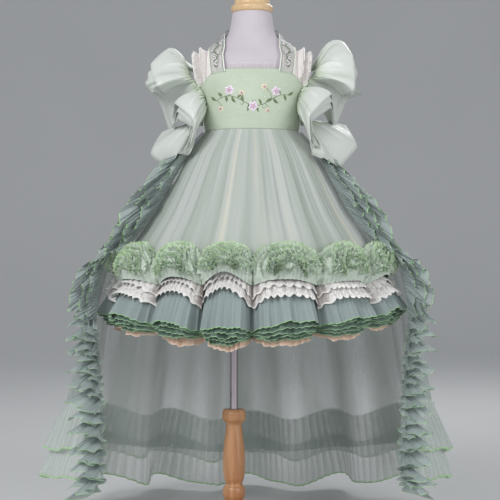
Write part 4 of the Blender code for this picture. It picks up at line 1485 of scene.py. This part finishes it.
dark_thread = thread("Grey green stranded cotton", "#82907F", "#66755F")
for name, side in (("left", -1), ("right", 1)):
    cloth(
        f"halter_{name}", 90, 24, lambda u, v, side=side: (halter_point(side, u, v, RIBBON_OFF), 0.0),
        organza, 0.024, on_it=sprigs(side),
    )

# %% [markdown]
# ## Shoulder ruffles
# Each shoulder carries three layers of stiff satin cut as part of a ring, with the short edge gathered into
# the bodice and the yoke. Stiff cloth won't drape, so the ring stands off the shoulder as a horn that opens
# in front and behind. A row of ribs gives its shape, each rib being the line from the seam out to the free
# edge.

# %% Sizes of the shoulder ruffles
SHOULDER_LEFT = (
    # seam angle, height and distance off the body, then across, forward and height of the middle and the edge
    (122, 0.914, 0.0212, 0.146, -0.040, 0.944, 0.160, -0.052, 0.940),
    (93, 0.914, 0.0212, 0.150, -0.012, 0.972, 0.176, -0.018, 0.944),
    (80, 0.906, 0.0202, 0.166, 0.020, 0.950, 0.212, 0.012, 0.906),
    (74, 0.894, 0.0176, 0.164, 0.066, 0.886, 0.197, 0.050, 0.866),
    (70, 0.880, 0.0136, 0.150, -0.004, 0.878, 0.186, -0.036, 0.858),
    (66, 0.868, 0.0092, 0.136, 0.004, 0.846, 0.168, -0.036, 0.800),
    (62, 0.858, 0.0069, 0.132, 0.082, 0.870, 0.154, 0.068, 0.822),
    (61, 0.848, 0.0069, 0.102, 0.118, 0.828, 0.118, 0.102, 0.788),
    (60, 0.838, 0.0069, 0.104, 0.112, 0.786, 0.128, 0.086, 0.742),
    (64, 0.820, 0.0069, 0.116, 0.070, 0.776, 0.146, 0.026, 0.730),
    (78, 0.806, 0.0069, 0.140, 0.036, 0.796, 0.180, 0.004, 0.752),
    (96, 0.800, 0.0069, 0.124, -0.012, 0.800, 0.164, -0.030, 0.782),
)
SHOULDER_RIGHT = (
    (122, 0.914, 0.0212, 0.146, -0.040, 0.950, 0.164, -0.050, 0.954),
    (93, 0.914, 0.0212, 0.148, -0.008, 0.998, 0.196, -0.008, 0.956),
    (80, 0.906, 0.0202, 0.178, 0.040, 0.962, 0.210, 0.026, 0.920),
    (74, 0.896, 0.0176, 0.190, 0.072, 0.884, 0.204, 0.042, 0.858),
    (70, 0.886, 0.0136, 0.158, -0.002, 0.884, 0.190, -0.036, 0.856),
    (66, 0.874, 0.0092, 0.138, 0.004, 0.852, 0.170, -0.034, 0.808),
    (62, 0.864, 0.0069, 0.142, 0.086, 0.882, 0.162, 0.072, 0.842),
    (60, 0.852, 0.0069, 0.100, 0.120, 0.836, 0.116, 0.104, 0.802),
    (58, 0.840, 0.0069, 0.102, 0.112, 0.790, 0.124, 0.086, 0.748),
    (64, 0.820, 0.0069, 0.118, 0.076, 0.770, 0.152, 0.048, 0.724),
    (78, 0.806, 0.0069, 0.148, 0.036, 0.800, 0.190, 0.008, 0.762),
    (96, 0.800, 0.0069, 0.126, -0.012, 0.806, 0.172, -0.032, 0.796),
)


def rib_point(ribs, along, across):
    """A point along the armhole's seam and out across the ruffle, which turns at its ribs."""
    place = along * (len(ribs) - 1)
    k = min(int(place), len(ribs) - 2)
    here, after, share = ribs[k], ribs[k + 1], place - k
    turning = 0.6 * ease(0.0, 0.35, across)
    seam_angle, seam_z, off, *rest = [
        between(ribs, place, c) * (1 - turning) + (here[c] + (after[c] - here[c]) * share) * turning
        for c in range(1, 10)
    ]
    seam = on_trunk(seam_angle, seam_z, off) - Vector((GOWN_AXIS_X, 0, 0))
    middle, edge = Vector((rest[0], -rest[1], rest[2])), Vector((rest[3], -rest[4], rest[5]))
    return seam * (1 - across) ** 2 + middle * (2 * across * (1 - across)) + edge * across**2


CREASES = (
    # place along the seam, drift towards the edge, depth in millimetres, width, where it starts and fades out
    (0.06, 0.02, 2.0, 0.012, 0.15, 1.05),
    (0.13, -0.02, -3.0, 0.016, 0.05, 0.85),
    (0.19, 0.03, 3.2, 0.013, 0.00, 0.70),
    (0.245, -0.01, -3.4, 0.018, 0.10, 1.05),
    (0.31, 0.02, 2.6, 0.012, 0.30, 1.10),
    (0.37, -0.03, -2.8, 0.015, 0.00, 0.75),
    (0.44, 0.015, 3.4, 0.014, 0.05, 0.90),
    (0.52, -0.02, -2.4, 0.017, 0.25, 1.10),
    (0.575, 0.025, 3.0, 0.012, 0.00, 0.80),
    (0.65, -0.015, -3.2, 0.016, 0.20, 1.05),
    (0.72, 0.02, 2.2, 0.012, 0.05, 0.65),
    (0.79, 0.00, -2.8, 0.015, 0.10, 0.95),
    (0.87, 0.02, 2.6, 0.013, 0.00, 0.80),
    (0.94, -0.01, -2.0, 0.014, 0.15, 1.00),
)


def horn_place(ribs, side, wider, inset, lifted, seed):
    """A layer of satin: gathers at the seam, sharp creases, and a free edge that stands apart."""
    ribs = [(k, *row) for k, row in enumerate(ribs)]

    def place(u, v):
        across = v * (1 + wider + 0.012 * math.sin(math.tau * 5.3 * u + seed))
        point = rib_point(ribs, u, across)
        along = rib_point(ribs, min(u + 0.004, 1.0), across) - rib_point(ribs, max(u - 0.004, 0.0), across)
        out = rib_point(ribs, u, across + 0.01) - rib_point(ribs, u, across - 0.01)
        normal = along.cross(out).normalized()
        gather = math.sin(math.tau * (30 * u + 1.4 * uneven_line(u * 11, seed)))
        near = (1 - ease(0.03, 0.42, v)) * (0.45 + 0.9 * abs(uneven_line(u * 13, seed + 3)))
        # The gathers and creases carry painted light on their ridges and painted shade in their hollows
        lift, shade = 0.0021 * gather * near, gather * near
        for start, drift, depth, width, begin, end in CREASES:
            away = abs(u - start - drift * v - 0.006 * math.sin(seed + 9 * start)) / width
            if away < 1.0 and begin < v < end:
                part = math.sin(math.pi * (v - begin) / (end - begin)) ** 0.6 * (1 - away) ** 1.4
                lift += 0.001 * depth * part
                shade += 0.22 * depth * part
        lift += 0.0018 * math.sin(math.tau * 2.6 * u + 4 * v + seed) * v + lifted * ease(0.55, 1.0, v)
        point += normal * (lift - inset * (0.6 + 1.1 * v))
        point.x = GOWN_AXIS_X + side * point.x
        return point, within(shade)

    return place


# %% Satin
satin, tree, shader = new_material(
    "Stiff duchess satin", Roughness=0.40, Sheen_Weight=0.1, Sheen_Roughness=0.4
)
fold, hem = [add_node(tree, "ShaderNodeAttribute", {"attribute_name": key}, "Fac") for key in ("FoldShade", "Hem")]
colour = layered(
    tree, "#BCC3B9",
    # Paler where the value is high: painted light on ridges, painted shade in the gathers and creases
    (fold, -0.9, 0.5, "#DFE3DF"),
    (hem, 50.0, 82.0, "#B3C5A3"),
    # A paler band along the free edge: a painted highlight on the rolled hem
    (hem, 2.0, 1.5, "#E4E8E1"),
)
surface(tree, shader, colour, streaks(tree, 14.0, 1.4, detail=1.5), 0.06)

for name, side, ribs, seed in (("left", -1, SHOULDER_LEFT, 121), ("right", 1, SHOULDER_RIGHT, 131)):
    cloth(
        f"shoulder_{name}_outer", 320, 20, horn_place(ribs, side, -0.15, 0.0, 0.0030, seed),
        satin, 0.072, wall=0.0009,
    )
    cloth(
        f"shoulder_{name}_under", 300, 20,
        [
            horn_place(ribs, side, 0.0, 0.0036, 0.0, seed + 4),
            horn_place(ribs, side, 0.13, 0.0066, -0.002, seed + 8),
        ],
        satin, 0.086, wall=0.0009,
    )

# %% [markdown]
# A pale sweep of floor and three soft lamps: a broad key from the upper left, a weaker fill from the right,
# and a rim from behind that lets the net's edges show. The world is a pale grey, so no side is in the dark.

# %% Floor
floor_paint, tree, shader = new_material("Matt studio floor", Roughness=0.9)
place = add_node(tree, "ShaderNodeTexCoord", output="Object")
mottle = add_node(tree, "ShaderNodeTexNoise", {"Scale": 2.0, "Detail": 2.0, "Vector": place})
tree.links.new(layered(tree, "#C6C7C8", (mottle, 0.0, 1.0, "#CBCCCD")), shader.inputs["Base Color"])
FLOOR_PROFILE = (
    # distance behind the stand, height
    (-6.0, 0.0),
    (3.4, 0.0),
    (4.2, 0.06),
    (4.9, 0.36),
    (5.4, 0.95),
    (5.6, 1.9),
    (5.6, 7.0),
)
bm = bmesh.new()
FLOOR_HALF_WIDTH = 6.0
row = [bm.verts.new((-FLOOR_HALF_WIDTH, y, z - 0.0005)) for y, z in FLOOR_PROFILE]
edges = [bm.edges.new(pair) for pair in zip(row, row[1:])]
made = bmesh.ops.extrude_edge_only(bm, edges=edges)["geom"]
across = [g for g in made if isinstance(g, bmesh.types.BMVert)]
bmesh.ops.translate(bm, verts=across, vec=(2 * FLOOR_HALF_WIDTH, 0, 0))
mesh = bpy.data.meshes.new("floor")
bm.to_mesh(mesh)
bm.free()
mesh.materials.append(floor_paint)
mesh.shade_smooth()
floor = bpy.data.objects.new("floor", mesh)
bpy.context.scene.collection.objects.link(floor)
smooth = floor.modifiers.new("Sweep", "SUBSURF")
smooth.levels = smooth.render_levels = 2

# %% Lamps and world
LAMPS = (
    # name, place, size, watts
    ("key", (-1.6, -2.6, 2.3), 1.8, 62.0),
    ("fill", (2.2, -2.2, 1.3), 2.0, 26.0),
    ("rim", (0.9, 2.4, 2.4), 1.4, 26.0),
)
for name, place, size, watts in LAMPS:
    lamp = bpy.data.lights.new(name, "AREA")
    lamp.shape = "DISK"
    lamp.size = size
    lamp.energy = watts
    obj = bpy.data.objects.new(name, lamp)
    obj.location = place
    obj.rotation_euler = (Vector((0.03, 0.0, 0.55)) - Vector(place)).to_track_quat("-Z", "Y").to_euler()
    bpy.context.scene.collection.objects.link(obj)
world = bpy.data.worlds.new("Pale room")
bpy.context.scene.world = world
world.use_nodes = True
world.node_tree.nodes["Background"].inputs["Color"].default_value = linear("#E6E9EC")
world.node_tree.nodes["Background"].inputs["Strength"].default_value = 0.55
bpy.context.scene.view_settings.view_transform = "Standard"
